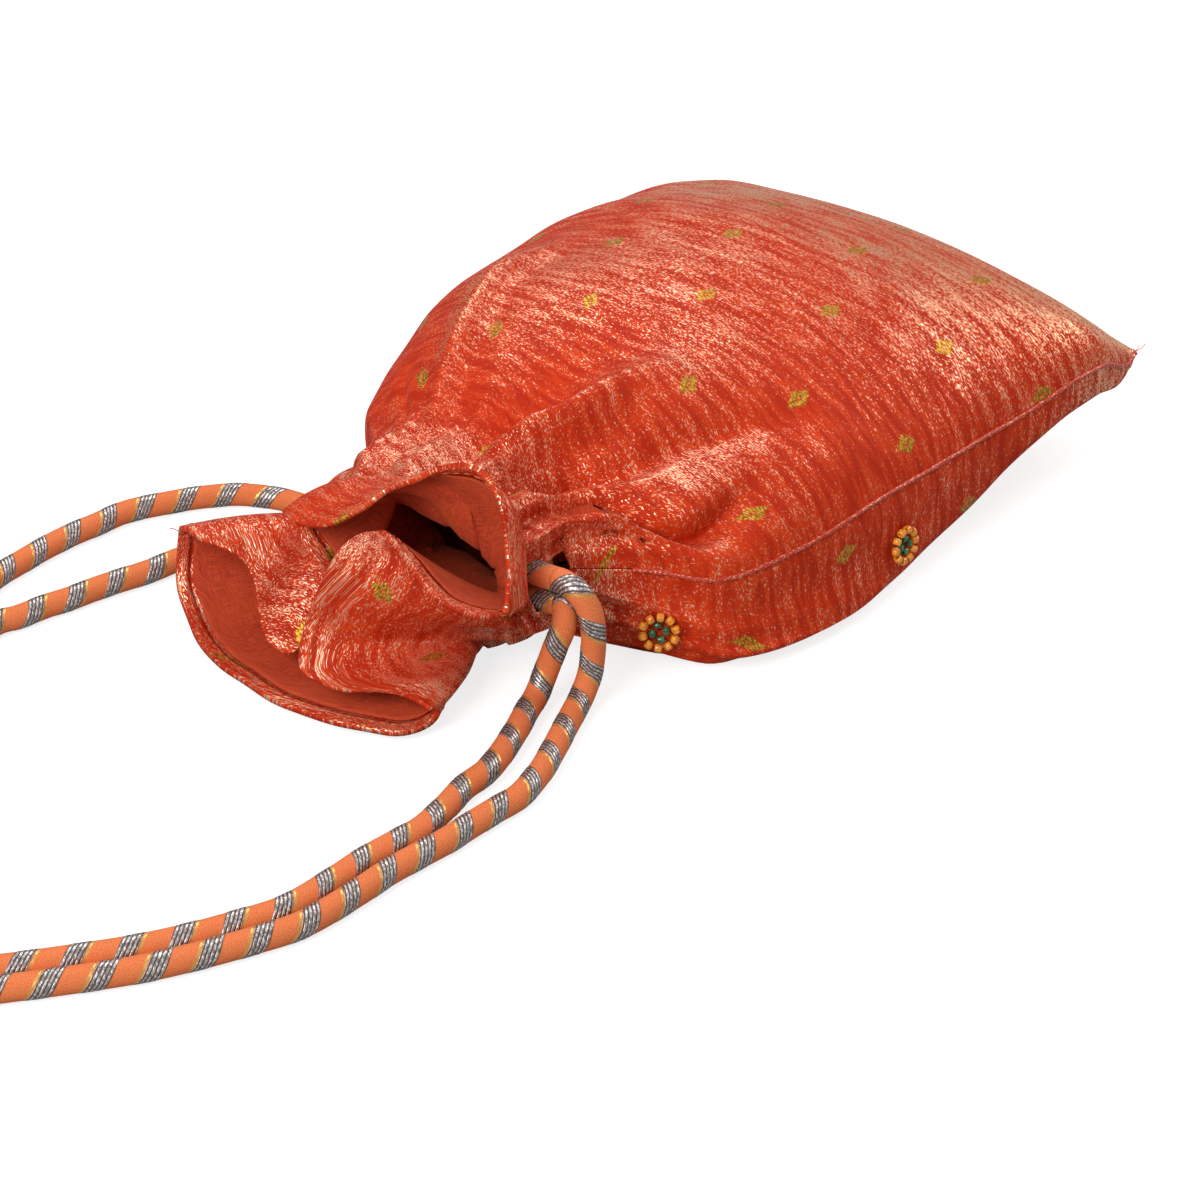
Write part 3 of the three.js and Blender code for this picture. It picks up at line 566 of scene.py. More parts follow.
    def frill_rows(self, count: int, hem_rows: Sequence[float]) -> np.ndarray:
        """Rows of the frill's outer face, evenly spaced, then set distances from the rim.

        Args:
            count: Number of rows before the hem.
            hem_rows: Distances of the last rows from the rim, falling to 0.

        Returns:
            An array of rows of points.
        """
        start = self.channel_row(self.frill_x)
        rim = self.rim_curve(self.turns)
        reach = np.stack([rim[:, 0] * self.frill_scale, rim[:, 1], rim[:, 2]], -1)
        reach[:, 0] = self.frill_x - reach[:, 0]
        half = np.stack([self.frill_x - self.middle[0](self.turns) * self.frill_scale,
                         self.middle[1](self.turns), self.middle[2](self.turns)], -1)
        shares = np.linspace(0, 1, 49)
        path = np.array([2 * (s - 0.5) * (s - 1) * start + 4 * s * (1 - s) * half + 2 * s * (s - 0.5) * reach
                         for s in shares])
        steps = np.linalg.norm(np.diff(path, axis=0), axis=2)
        lengths = np.concatenate([np.zeros((1, self.count)), np.cumsum(steps, 0)])
        total = lengths[-1]
        rows = []
        before_hem = total - hem_rows[0]
        for k in range(1, count + 1):
            rows.append(before_hem * k / (count + 1))
        rows.extend(total - distance for distance in hem_rows)
        result = np.empty((len(rows), self.count, 3))
        for j in range(self.count):
            wanted = [row[j] for row in rows]
            for axis in range(3):
                result[:, j, axis] = np.interp(wanted, lengths[:, j], path[:, j, axis])
        return result


def normals_of(rows: np.ndarray) -> np.ndarray:
    """Outward normals of a closed tube of rows that run from the base to the rim.

    Args:
        rows: Rows of points, each closed on itself.

    Returns:
        The normal at each point.
    """
    round_step = np.roll(rows, -2, 1) - np.roll(rows, 2, 1)
    long_step = np.empty_like(rows)
    long_step[1:-1] = rows[2:] - rows[:-2]
    long_step[0] = rows[1] - rows[0]
    long_step[-1] = rows[-1] - rows[-2]
    normal = np.cross(round_step, long_step)
    return normal / (np.linalg.norm(normal, axis=2)[..., None] + 1e-12)


def draw_back(points: np.ndarray, distance: float, reach: int) -> np.ndarray:
    """Draws the start of a line of points back and spaces its next points out again.

    Args:
        points: The line.
        distance: How far its start moves along it.
        reach: How many points take up the change.

    Returns:
        The new line.
    """
    lengths = np.concatenate([[0], np.cumsum(np.linalg.norm(np.diff(points[: reach + 1], axis=0), axis=1))])
    wanted = mix(distance, lengths[-1], lengths / lengths[-1])
    drawn = points.copy()
    for axis in range(points.shape[1]):
        drawn[: reach + 1, axis] = np.interp(wanted, lengths, points[: reach + 1, axis])
    return drawn


def make_object(name: str, vertices: np.ndarray, faces: list, uvs: np.ndarray | None = None,
                smooth: bool = True) -> bpy.types.Object:
    """Makes a mesh object from points in millimetres.

    Args:
        name: The object's name.
        vertices: Its points.
        faces: Its faces, as vertex numbers.
        uvs: A cloth position in metres for each vertex, or none.
        smooth: Whether it is shaded smooth.

    Returns:
        The new object, linked to the scene.
    """
    mesh = bpy.data.meshes.new(name)
    mesh.from_pydata((np.asarray(vertices) * MM).tolist(), [], faces)
    if uvs is not None:
        layer = mesh.uv_layers.new(name="cloth")
        index = np.empty(len(mesh.loops), dtype=np.int32)
        mesh.loops.foreach_get("vertex_index", index)
        layer.data.foreach_set("uv", np.asarray(uvs, dtype=np.float32)[index].ravel())
    mesh.polygons.foreach_set("use_smooth", [smooth] * len(mesh.polygons))
    mesh.update()
    obj = bpy.data.objects.new(name, mesh)
    bpy.context.scene.collection.objects.link(obj)
    return obj


def shell_object(name: str, outer: np.ndarray, inner: np.ndarray, uvs: np.ndarray) -> bpy.types.Object:
    """A closed shell of cloth between two grids of the same size.

    Args:
        name: The object's name.
        outer: Grid of the outer face.
        inner: Grid of the inner face.
        uvs: Cloth position of each grid point.

    Returns:
        The new object.
    """
    rows, width, _ = outer.shape
    vertices = np.concatenate([outer.reshape(-1, 3), inner.reshape(-1, 3)])
    both = np.concatenate([uvs.reshape(-1, 2), uvs.reshape(-1, 2)])
    grid = np.arange(rows * width).reshape(rows, width)
    a, b, c, d = grid[:-1, :-1], grid[1:, :-1], grid[1:, 1:], grid[:-1, 1:]
    front = np.stack([a, d, c, b], -1).reshape(-1, 4)
    back = np.stack([a, b, c, d], -1).reshape(-1, 4) + rows * width
    off = rows * width
    edges = []
    for line, flip in ((grid[:, 0], False), (grid[:, -1], True), (grid[0, :], True), (grid[-1, :], False)):
        first, second = line[:-1], line[1:]
        quad = np.stack([first, second, second + off, first + off], -1)
        edges.append(quad[:, ::-1] if flip else quad)
    faces = np.concatenate([front, back, *edges]).tolist()
    return make_object(name, vertices, faces, both)


@dataclass
class ClothGrid:
    """The whole bag's silk as a grid of rows, with what the layers do in each row."""

    rows: np.ndarray
    normals: np.ndarray
    depth: np.ndarray
    gap: np.ndarray
    uvs: np.ndarray
    body_count: int
    channel_count: int


class ClothBuilder:
    """Builds the silk and lining panels."""

    HEM_ROWS = (4.6, 3.9, 3.5, 3.45, 2.6, 1.7, 0.9, 0.35, 0.0)
    BODY_ROWS = 128
    CHANNEL_ROWS = 13
    FRILL_ROWS = 34

    def __init__(self, form: BagForm) -> None:
        """Keeps the form and makes its grid.

        Args:
            form: The bag's shape.
        """
        self.form = form
        self.grid = self.make_grid()

    def make_grid(self) -> ClothGrid:
        """Lays the silk's rows from the base seam to the rim.

        Returns:
            The grid.
        """
        form = self.form
        share = np.linspace(1, 0, self.BODY_ROWS)
        share = np.concatenate([[1, 0.997, 0.993, 0.989], share[2:]])
        body = [form.body_row(form.turns, s * form.body.length) for s in share]
        inset = form.cord.slit_inset
        places = np.linspace(form.body.neck_x - inset, form.frill_x + inset, self.CHANNEL_ROWS)
        channel = [form.channel_row(x) for x in places]
        last = form.channel_row(form.frill_x)
        frill = form.frill_rows(self.FRILL_ROWS, self.HEM_ROWS)
        rows = np.concatenate([np.array(body), np.array(channel), last[None], frill])
        normals = normals_of(rows)
        hem_thickness = form.lining_gap + form.cloth.lining
        depth = np.full(len(rows), form.cloth.silk)
        depth[-len(self.HEM_ROWS) + 3:] = hem_thickness
        depth[-1] = hem_thickness * 0.75
        gap = np.full(len(rows), form.cloth.clearance / 2)
        first = len(body)
        gap[first: first + len(channel)] = form.slit_half
        places = self.cloth_positions(rows, len(body))
        return ClothGrid(rows, normals, depth, gap, places, len(body), len(channel))

    def cloth_positions(self, rows: np.ndarray, body_count: int) -> np.ndarray:
        """Where each point lies on the flat cloth, in metres: round the bag, then along it.

        Args:
            rows: The grid.
            body_count: Number of its rows on the body.

        Returns:
            The cloth position of every point.
        """
        closed = np.concatenate([rows, rows[:, :1]], 1)
        steps = np.linalg.norm(np.diff(closed, axis=1), axis=2)
        around = np.concatenate([np.zeros((len(rows), 1)), np.cumsum(steps, 1)], 1)
        middle_turn = 0.255
        top_place = np.array([np.interp(middle_turn * self.form.count, np.arange(self.form.count + 1), row)
                              for row in around])
        around = around - top_place[:, None]
        total = steps.sum(1)
        full = total[body_count // 2]
        stretch = np.maximum(1.0, full / total)
        lengthwise = np.linalg.norm(np.diff(rows, axis=0), axis=2)
        path = np.concatenate([np.zeros((1, rows.shape[1])), np.cumsum(lengthwise, 0)])
        base_x = self.form.body.neck_x + self.form.body.length + 65
        along = np.where(np.arange(len(rows))[:, None] < body_count, rows[..., 0] + 65,
                         base_x - path + (path[body_count - 1] - self.form.body.length)[None])
        return np.stack([around[:, :-1] * stretch[:, None], along], -1) * MM

    def panel_part(self, values: np.ndarray, panel: Panel) -> np.ndarray:
        """One panel's share of a row.

        Args:
            values: The whole row.
            panel: Which panel.

        Returns:
            The panel's points.
        """
        count = self.form.back_count
        if panel is Panel.BACK:
            return values[: count + 1]
        return np.concatenate([values[count:], values[:1]])

    def silk(self, panel: Panel) -> bpy.types.Object:
        """The silk of one panel, with its hem turned in.

        Args:
            panel: Which panel.

        Returns:
            The new object.
        """
        grid = self.grid
        outer, inner, uvs = [], [], []
        wrap = np.linalg.norm(grid.rows[:, 0] - grid.rows[:, -1], axis=1) * MM
        for i, row in enumerate(grid.rows):
            under = row - grid.normals[i] * grid.depth[i]
            place = grid.uvs[i].copy()
            part = self.panel_part(np.concatenate([row, under, place], 1), panel)
            if panel is Panel.FRONT:
                part[-1, 6] = part[-2, 6] + wrap[i]
            reach = 6 * FINE
            part = draw_back(part, grid.gap[i], reach)
            part = draw_back(part[::-1], grid.gap[i], reach)[::-1]
            outer.append(part[:, :3])
            inner.append(part[:, 3:6])
            uvs.append(part[:, 6:])
        offset = np.array([0.0, 0.0]) if panel is Panel.BACK else np.array([0.005, 0.0])
        return shell_object(f"silk_{panel.value}", np.array(outer), np.array(inner), np.array(uvs) + offset)

    def lining_rows(self) -> tuple:
        """Outer and inner face of the whole lining.

        Returns:
            The rows of both faces and their cloth positions.
        """
        form = self.form
        grid = self.grid
        outer, inner, uvs = [], [], []
        body_last = grid.body_count - 1
        for i in range(8, body_last + 1, 3):
            from_neck = grid.rows[i][0, 0] - form.body.neck_x
            toward = ease((14 - from_neck) / 14)
            depth = mix(form.lining_gap + form.cloth.ease, form.channel_inset, toward * 0.9)
            near_base = ease((from_neck - 150) / 20)
            depth = mix(depth, form.lining_gap + form.cloth.clearance, near_base)
            outer.append(grid.rows[i] - grid.normals[i] * depth)
            inner.append(grid.rows[i] - grid.normals[i] * (depth + form.cloth.lining))
            uvs.append(grid.uvs[i])
        for x in np.linspace(form.body.neck_x - 1, form.frill_x, 6):
            row = np.array([form.inside_neck(turn, x, form.channel_inset) for turn in form.turns])
            outer.append(row)
            inner.append(form.towards_middle(row, form.cloth.lining))
            uvs.append(grid.uvs[body_last] + np.array([0, (x - form.body.neck_x) * MM]))
        first = grid.body_count + grid.channel_count + 1
        last = len(grid.rows) - len(self.HEM_ROWS) + 1
        ring = outer[-1]
        for i in range(first, last):
            settle = ease((i - first + 0.5) / 11)
            face = grid.rows[i] - grid.normals[i] * form.lining_gap
            shifted = ring + np.array([grid.rows[i][:, 0].mean() - form.frill_x, 0.0, 0.0])
            shifted[:, 0] = mix(shifted[:, 0], face[:, 0], 0.6)
            blended = mix(shifted, face, settle)
            below = blended - grid.normals[i] * form.cloth.lining
            under = mix(form.towards_middle(blended, form.cloth.lining), below, settle)
            outer.append(blended)
            inner.append(under)
            uvs.append(grid.uvs[i])
        return np.array(outer), np.array(inner), np.array(uvs)

    def lining(self, panel: Panel) -> bpy.types.Object:
        """The lining of one panel.

        Args:
            panel: Which panel.

        Returns:
            The new object.
        """
        outer, inner, uvs = self.lining_rows()
        parts = [[], [], []]
        for rows in zip(outer, inner, uvs):
            for part, row in zip(parts, rows):
                part.append(self.panel_part(row, panel))
        return shell_object(f"lining_{panel.value}", *(np.array(part) for part in parts))


def centripetal(points: np.ndarray, samples: int) -> np.ndarray:
    """A smooth curve through points, evenly spaced by length.

    Args:
        points: The points that it passes.
        samples: Number of points of the result.

    Returns:
        The curve's points.
    """
    ends = np.concatenate([[2 * points[0] - points[1]], points, [2 * points[-1] - points[-2]]])
    out = []
    for i in range(len(points) - 1):
        p0, p1, p2, p3 = ends[i: i + 4]
        d0, d1, d2 = (max(np.linalg.norm(b - a), 1e-6) ** 0.5 for a, b in ((p0, p1), (p1, p2), (p2, p3)))
        m1 = (p2 - p1) + d1 * ((p1 - p0) / d0 - (p2 - p0) / (d0 + d1))
        m2 = (p2 - p1) + d1 * ((p3 - p2) / d2 - (p3 - p1) / (d1 + d2))
        for t in np.linspace(0, 1, 16, endpoint=False):
            out.append((2 * t**3 - 3 * t**2 + 1) * p1 + (t**3 - 2 * t**2 + t) * m1
                       + (3 * t**2 - 2 * t**3) * p2 + (t**3 - t**2) * m2)
    out.append(points[-1])
    out = np.array(out)
    length = np.concatenate([[0], np.cumsum(np.linalg.norm(np.diff(out, axis=0), axis=1))])
    even = np.linspace(0, length[-1], samples)
    return np.stack([np.interp(even, length, out[:, axis]) for axis in range(3)], -1)


def tube_object(name: str, path: np.ndarray, radius: Callable[[float, np.ndarray], np.ndarray],
                sides: int, start: float = 0.0) -> bpy.types.Object:
    """A closed tube along a path, with its cloth position round and along it.

    Args:
        name: The object's name.
        path: The points of its middle line.
        radius: Gives the radius at a length and at the angles round it.
        sides: Number of sides.
        start: Length at the path's first point, for its stripes.

    Returns:
        The new object.
    """
    tangent = np.gradient(path, axis=0)
    tangent /= np.linalg.norm(tangent, axis=1)[:, None]
    normal = np.cross(tangent[0], (0.0, 0.0, 1.0) if abs(tangent[0, 2]) < 0.9 else (1.0, 0.0, 0.0))
    normal /= np.linalg.norm(normal)
    length = start + np.concatenate([[0], np.cumsum(np.linalg.norm(np.diff(path, axis=0), axis=1))])
    angles = np.linspace(0, TURN, sides + 1)
    vertices, uvs = [], []
    for i, point in enumerate(path):
        normal = normal - tangent[i] * (normal @ tangent[i])
        normal /= np.linalg.norm(normal)
        side = np.cross(tangent[i], normal)
        ring = radius(length[i], angles)[:, None]
        vertices.append(point + ring * (np.cos(angles)[:, None] * normal + np.sin(angles)[:, None] * side))
        uvs.append(np.stack([angles / (TURN), np.full_like(angles, length[i] / 100)], -1))
    vertices = np.array(vertices)
    mesh_vertices = vertices[:, :-1].reshape(-1, 3)
    rows = len(path)
    grid = np.arange(rows * sides).reshape(rows, sides)
    following = np.roll(grid, -1, 1)
    faces = np.stack([grid[:-1], following[:-1], following[1:], grid[1:]], -1).reshape(-1, 4).tolist()
    faces.append(grid[0, ::-1].tolist())
    faces.append(grid[-1].tolist())
    obj = make_object(name, mesh_vertices, faces)
    mesh = obj.data
    layer = mesh.uv_layers.new(name="cloth")
    uvs = np.array(uvs)
    values = []
    for polygon in mesh.polygons:
        quad = len(polygon.vertices) == 4
        seam = quad and {v % sides for v in polygon.vertices} >= {0, sides - 1} and sides > 2
        for v in polygon.vertices:
            row, column = divmod(v, sides)
            if seam and column == 0:
                column = sides
            values.append(uvs[row, column])
    layer.data.foreach_set("uv", np.array(values, dtype=np.float32).ravel())
    return obj


# Free loops of the drawstrings, in metres in the row frame: points of their middle lines
NEAR_LOOP = (
    (-0.082, -0.0395, 0.0292), (-0.081, -0.0425, 0.025), (-0.0805, -0.0435, 0.019), (-0.0805, -0.0435, 0.013),
    (-0.0815, -0.0435, 0.008), (-0.0845, -0.044, 0.0042), (-0.09, -0.046, 0.003), (-0.098, -0.0495, 0.003),
    (-0.106, -0.053, 0.003), (-0.114, -0.056, 0.003), (-0.123, -0.058, 0.003), (-0.13, -0.0575, 0.003),
    (-0.138, -0.0572, 0.003), (-0.145, -0.057, 0.003), (-0.152, -0.0562, 0.003), (-0.162, -0.0553, 0.003),
    (-0.17, -0.0553, 0.003), (-0.186, -0.0541, 0.003), (-0.197, -0.0501, 0.003), (-0.2085, -0.0449, 0.003),
    (-0.218, -0.0398, 0.003), (-0.23, -0.0317, 0.003), (-0.241, -0.0237, 0.003), (-0.25, -0.0175, 0.003),
    (-0.257, -0.013, 0.003), (-0.258, -0.0085, 0.003), (-0.253, -0.007, 0.003), (-0.246, -0.0105, 0.003),
    (-0.237, -0.0183, 0.003), (-0.226, -0.0263, 0.003), (-0.2143, -0.0342, 0.003), (-0.2055, -0.0391, 0.003),
    (-0.195, -0.0439, 0.003), (-0.184, -0.0479, 0.003), (-0.1702, -0.0487, 0.003), (-0.162, -0.0487, 0.003),
    (-0.152, -0.0496, 0.003), (-0.146, -0.0502, 0.003), (-0.137, -0.049, 0.003), (-0.128, -0.047, 0.003),
    (-0.12, -0.0465, 0.003), (-0.113, -0.0445, 0.003), (-0.105, -0.0415, 0.003), (-0.097, -0.038, 0.003),
    (-0.091, -0.036, 0.0042), (-0.0875, -0.0358, 0.009), (-0.086, -0.0368, 0.0145), (-0.0842, -0.0378, 0.02),
)
FAR_LOOP = (
    (-0.0752, 0.041, 0.0115), (-0.0715, 0.048, 0.0075), (-0.0675, 0.056, 0.004), (-0.066, 0.063, 0.003),
    (-0.0685, 0.0715, 0.003), (-0.0735, 0.0795, 0.003), (-0.081, 0.0855, 0.003), (-0.089, 0.09, 0.003),
    (-0.098, 0.094, 0.003), (-0.107, 0.095, 0.003), (-0.116, 0.096, 0.003), (-0.125, 0.096, 0.003),
    (-0.132, 0.0955, 0.003), (-0.139, 0.095, 0.003), (-0.147, 0.0935, 0.003), (-0.158, 0.0925, 0.003),
    (-0.166, 0.09, 0.003), (-0.169, 0.086, 0.003), (-0.1665, 0.0815, 0.003), (-0.16, 0.0795, 0.003),
    (-0.152, 0.079, 0.003), (-0.148, 0.0775, 0.003), (-0.14, 0.076, 0.003), (-0.134, 0.0743, 0.003),
    (-0.127, 0.073, 0.003), (-0.123, 0.072, 0.003), (-0.116, 0.07, 0.003), (-0.112, 0.069, 0.003),
    (-0.105, 0.068, 0.003), (-0.099, 0.0665, 0.003), (-0.091, 0.062, 0.003), (-0.084, 0.054, 0.0032),
    (-0.0795, 0.046, 0.0036), (-0.077, 0.04, 0.0052),
)


class CordBuilder:
    """Builds the two drawstrings: their runs in the channel and their free loops."""

    def __init__(self, form: BagForm) -> None:
        """Keeps the form.

        Args:
            form: The bag's shape.
        """
        self.form = form
        self.offset = (form.cord.diameter + form.cloth.clearance) / 2

    def opening(self, turn: float, x: float) -> tuple:
        """The middle of a side seam's opening, with the ways out of it and up it.

        Args:
            turn: Share of the way round.
            x: Place along the bag.

        Returns:
            The point and the two directions.
        """
        point = self.form.inside_neck(turn, x, 0)
        out = point - self.form.inside_neck(turn, x, 1)
        return point, out, np.cross((1.0, 0.0, 0.0), out)

    def strand(self, turn: float, x: float, side: int, outwards: float, sideways: float) -> np.ndarray:
        """A point of a strand near its opening.

        Args:
            turn: Share of the way round.
            x: Place along the bag.
            side: -1 for the lower strand and 1 for the upper.
            outwards: Distance out of the opening.
            sideways: Distance from the opening's middle.

        Returns:
            The point.
        """
        point, out, along = self.opening(turn, x)
        return point + out * outwards + along * side * sideways

    def surface(self, length: float, angles: np.ndarray) -> np.ndarray:
        """Radius of the corded surface: cotton with a raised helical band of threads.

        Args:
            length: Length along the cord.
            angles: Angles round it.

        Returns:
            The radius at each angle.
        """
        phase = np.mod(angles / (TURN) + length / CORD_PITCH, 1.0)
        band = ease((phase - 0.02) / 0.05) * ease((BAND_SHARE - phase) / 0.05)
        threads = 0.5 + 0.5 * np.cos(TURN * phase * THREADS / BAND_SHARE)
        radius = self.form.cord.diameter / 2
        return radius * (0.965 + 0.035 * band * (0.45 + 0.55 * threads))

    def run(self, name: str, column: int, x: float, skip_after: int, skip_before: int) -> bpy.types.Object:
        """A drawstring's run in the channel.

        Args:
            name: The object's name.
            column: The seam's column that it leaves by.
            x: Its lane in the channel.
            skip_after: Columns left out after the seam.
            skip_before: Columns left out before it.

        Returns:
            The new object.
        """
        form = self.form
        turn = column / COLUMNS
        ends = {}
        for side in (-1, 1):
            ends[side] = [
                self.strand(turn, x, side, form.cord.exit_length, self.offset),
                self.strand(turn, x, side, 0, self.offset),
                self.strand(turn, x, side, -form.cord_inset + 1.8, self.offset + 0.6),
            ]
        turns = [form.inside_neck(((column + step) % COLUMNS) / COLUMNS, x, form.cord_inset)
                 for step in range(skip_after, COLUMNS - skip_before + 1, 2)]
        first_near = np.linalg.norm(ends[-1][2] - turns[0]) < np.linalg.norm(ends[1][2] - turns[0])
        start, end = (ends[-1], ends[1]) if first_near else (ends[1], ends[-1])
        path = centripetal(np.array([*start, *turns, *end[::-1]]), 140)
        return tube_object(name, path, self.surface, 20)

    def loop_path(self, column: int, x: float, first_side: int, route: Sequence) -> np.ndarray:
        """The middle line of a free loop.

        Args:
            column: The seam's column that it leaves by.
            x: Its lane in the channel.
            first_side: The strand that it starts at.
            route: Its points, in metres.

        Returns:
            The line's points, evenly spaced.
        """
        turn = column / COLUMNS
        gap = self.form.cord.exit_length
        lowest = self.form.cord.diameter / 2 + 0.15
        points = [np.array(p) / MM for p in route]
        for p in points:
            p[2] = max(p[2], lowest)
        both = ((first_side, 0), (first_side, 1.3), (-first_side, 1.3), (-first_side, 0))
        ends = [self.strand(turn, x, side, gap + further, self.offset) for side, further in both]
        line = np.array([ends[0], ends[1], *points, ends[2], ends[3]])
        rough = np.linalg.norm(np.diff(line, axis=0), axis=1).sum()
        return centripetal(line, int(rough / 0.62))

    def loop(self, name: str, path: np.ndarray) -> bpy.types.Object:
        """The tube of a free loop.

        Args:
            name: The object's name.
            path: Its middle line.

        Returns:
            The new object.
        """
        return tube_object(name, path, self.surface, self.form.cord.sides)


# Half-drop lattice of the butis on the flat cloth: along the bag, then round it, in millimetres
BUTI_LATTICE = np.array([[18.9, -29.9], [-23.3, -15.7]])
BUTI_ORIGIN = (69.0, -28.8)
CORD_PITCH = 11.0
BAND_SHARE = 0.46
THREADS = 5


class Nodes:
    """A short way to build a material's node tree."""

    def __init__(self, name: str) -> None:
        """Makes an empty material.

        Args:
            name: The material's name.
        """
        self.material = bpy.data.materials.new(name)
        self.material.use_nodes = True
        self.tree = self.material.node_tree
        self.tree.nodes.clear()

    def add(self, kind: str, inputs: dict | None = None, **settings: object) -> bpy.types.Node:
        """Adds a node.

        Args:
            kind: The node's type.
            inputs: Values or sockets for its inputs, by name or number.
            settings: Its own properties.

        Returns:
            The node.
        """
        node = self.tree.nodes.new(kind)
        for key, value in settings.items():
            setattr(node, key, value)
        for key, value in (inputs or {}).items():
            socket = node.inputs[key]
            if isinstance(value, bpy.types.NodeSocket):
                self.tree.links.new(value, socket)
            else:
                socket.default_value = value
        return node

    def math(self, operation: str, *values: SocketValue, clamp: bool = False) -> bpy.types.NodeSocket:
        """Adds a math node.

        Args:
            operation: What it does.
            values: Its inputs.
            clamp: Whether its result is kept from 0 to 1.

        Returns:
            Its result.
        """
        node = self.add("ShaderNodeMath", dict(enumerate(values)), operation=operation, use_clamp=clamp)
        return node.outputs[0]

    def times(self, first: SocketValue, second: SocketValue) -> bpy.types.NodeSocket:
        """The product of two values."""
        return self.math("MULTIPLY", first, second)

    def plus(self, first: SocketValue, second: SocketValue) -> bpy.types.NodeSocket:
        """The sum of two values."""
        return self.math("ADD", first, second)

    def minus(self, first: SocketValue, second: SocketValue) -> bpy.types.NodeSocket:
        """The first value less the second."""
        return self.math("SUBTRACT", first, second)

    def largest(self, first: SocketValue, second: SocketValue) -> bpy.types.NodeSocket:
        """The larger of two values."""
        return self.math("MAXIMUM", first, second)

    def size(self, value: SocketValue) -> bpy.types.NodeSocket:
        """The value without its sign."""
        return self.math("ABSOLUTE", value)

    def line(self, value: SocketValue, slope: SocketValue, start: SocketValue) -> bpy.types.NodeSocket:
        """A straight line: the value times a slope, plus a start."""
        return self.math("MULTIPLY_ADD", value, slope, start)

    def mix(self, factor: SocketValue, first: SocketValue, second: SocketValue) -> bpy.types.NodeSocket:
        """Mixes two colours.

        Args:
            factor: Share of the second.
            first: A colour or socket.
            second: A colour or socket.

        Returns:
            The mixed colour.
        """
        node = self.add("ShaderNodeMix", data_type="RGBA", clamp_factor=True)
        for index, value in ((0, factor), (6, first), (7, second)):
            if isinstance(value, bpy.types.NodeSocket):
                self.tree.links.new(value, node.inputs[index])
            else:
                node.inputs[index].default_value = value
        return node.outputs[2]

    def step(self, value: SocketValue, low: float, high: float) -> bpy.types.NodeSocket:
        """A smooth step.

        Args:
            value: The input.
            low: Where it starts to rise.
            high: Where it reaches 1.

        Returns:
            The stepped value.
        """
        node = self.add("ShaderNodeMapRange", {0: value, 1: low, 2: high, 3: 0.0, 4: 1.0},
                        interpolation_type="SMOOTHSTEP")
        return node.outputs[0]

    def noise(self, vector: bpy.types.NodeSocket, scale: float, detail: float = 2.0,
              roughness: float = 0.5) -> bpy.types.NodeSocket:
        """A noise texture.

        Args:
            vector: Where it is read.
            scale: Its scale.
            detail: Its detail.
            roughness: Its roughness.

        Returns:
            Its value.
        """
        node = self.add("ShaderNodeTexNoise", {"Vector": vector, "Scale": scale, "Detail": detail,
                                               "Roughness": roughness})
        return node.outputs[0]

    def stretched(self, vector: bpy.types.NodeSocket, scale: tuple,
                  turn: float = 0.0) -> bpy.types.NodeSocket:
        """Scales and turns a position.

        Args:
            vector: The position.
            scale: Its scale on each axis.
            turn: Its turn about Z, in degrees.

        Returns:
            The new position.
        """
        node = self.add("ShaderNodeMapping", {"Vector": vector, "Scale": scale,
                                              "Rotation": (0.0, 0.0, math.radians(turn))})
        return node.outputs[0]

    def finish(self, shader: bpy.types.NodeSocket) -> bpy.types.Material:
        """Links the output.

        Args:
            shader: The surface shader.

        Returns:
            The material.
        """
        self.add("ShaderNodeOutputMaterial", {"Surface": shader})
        return self.material


@dataclass(frozen=True)
class SilkFinish:
    """Colours of the shot tissue silk, linear."""

    ground: tuple = (0.68, 0.048, 0.006, 1)
    deep: tuple = (0.48, 0.022, 0.003, 1)
    silver: tuple = (1.0, 0.70, 0.52, 1)
    # pale gold that the metal threads turn in the painted highlights
    painted_highlight: tuple = (1.0, 0.74, 0.44, 1)
    gold: tuple = (1.0, 0.60, 0.26, 1)
    buti: tuple = (0.80, 0.46, 0.06, 1)
    buti_dark: tuple = (0.30, 0.11, 0.01, 1)


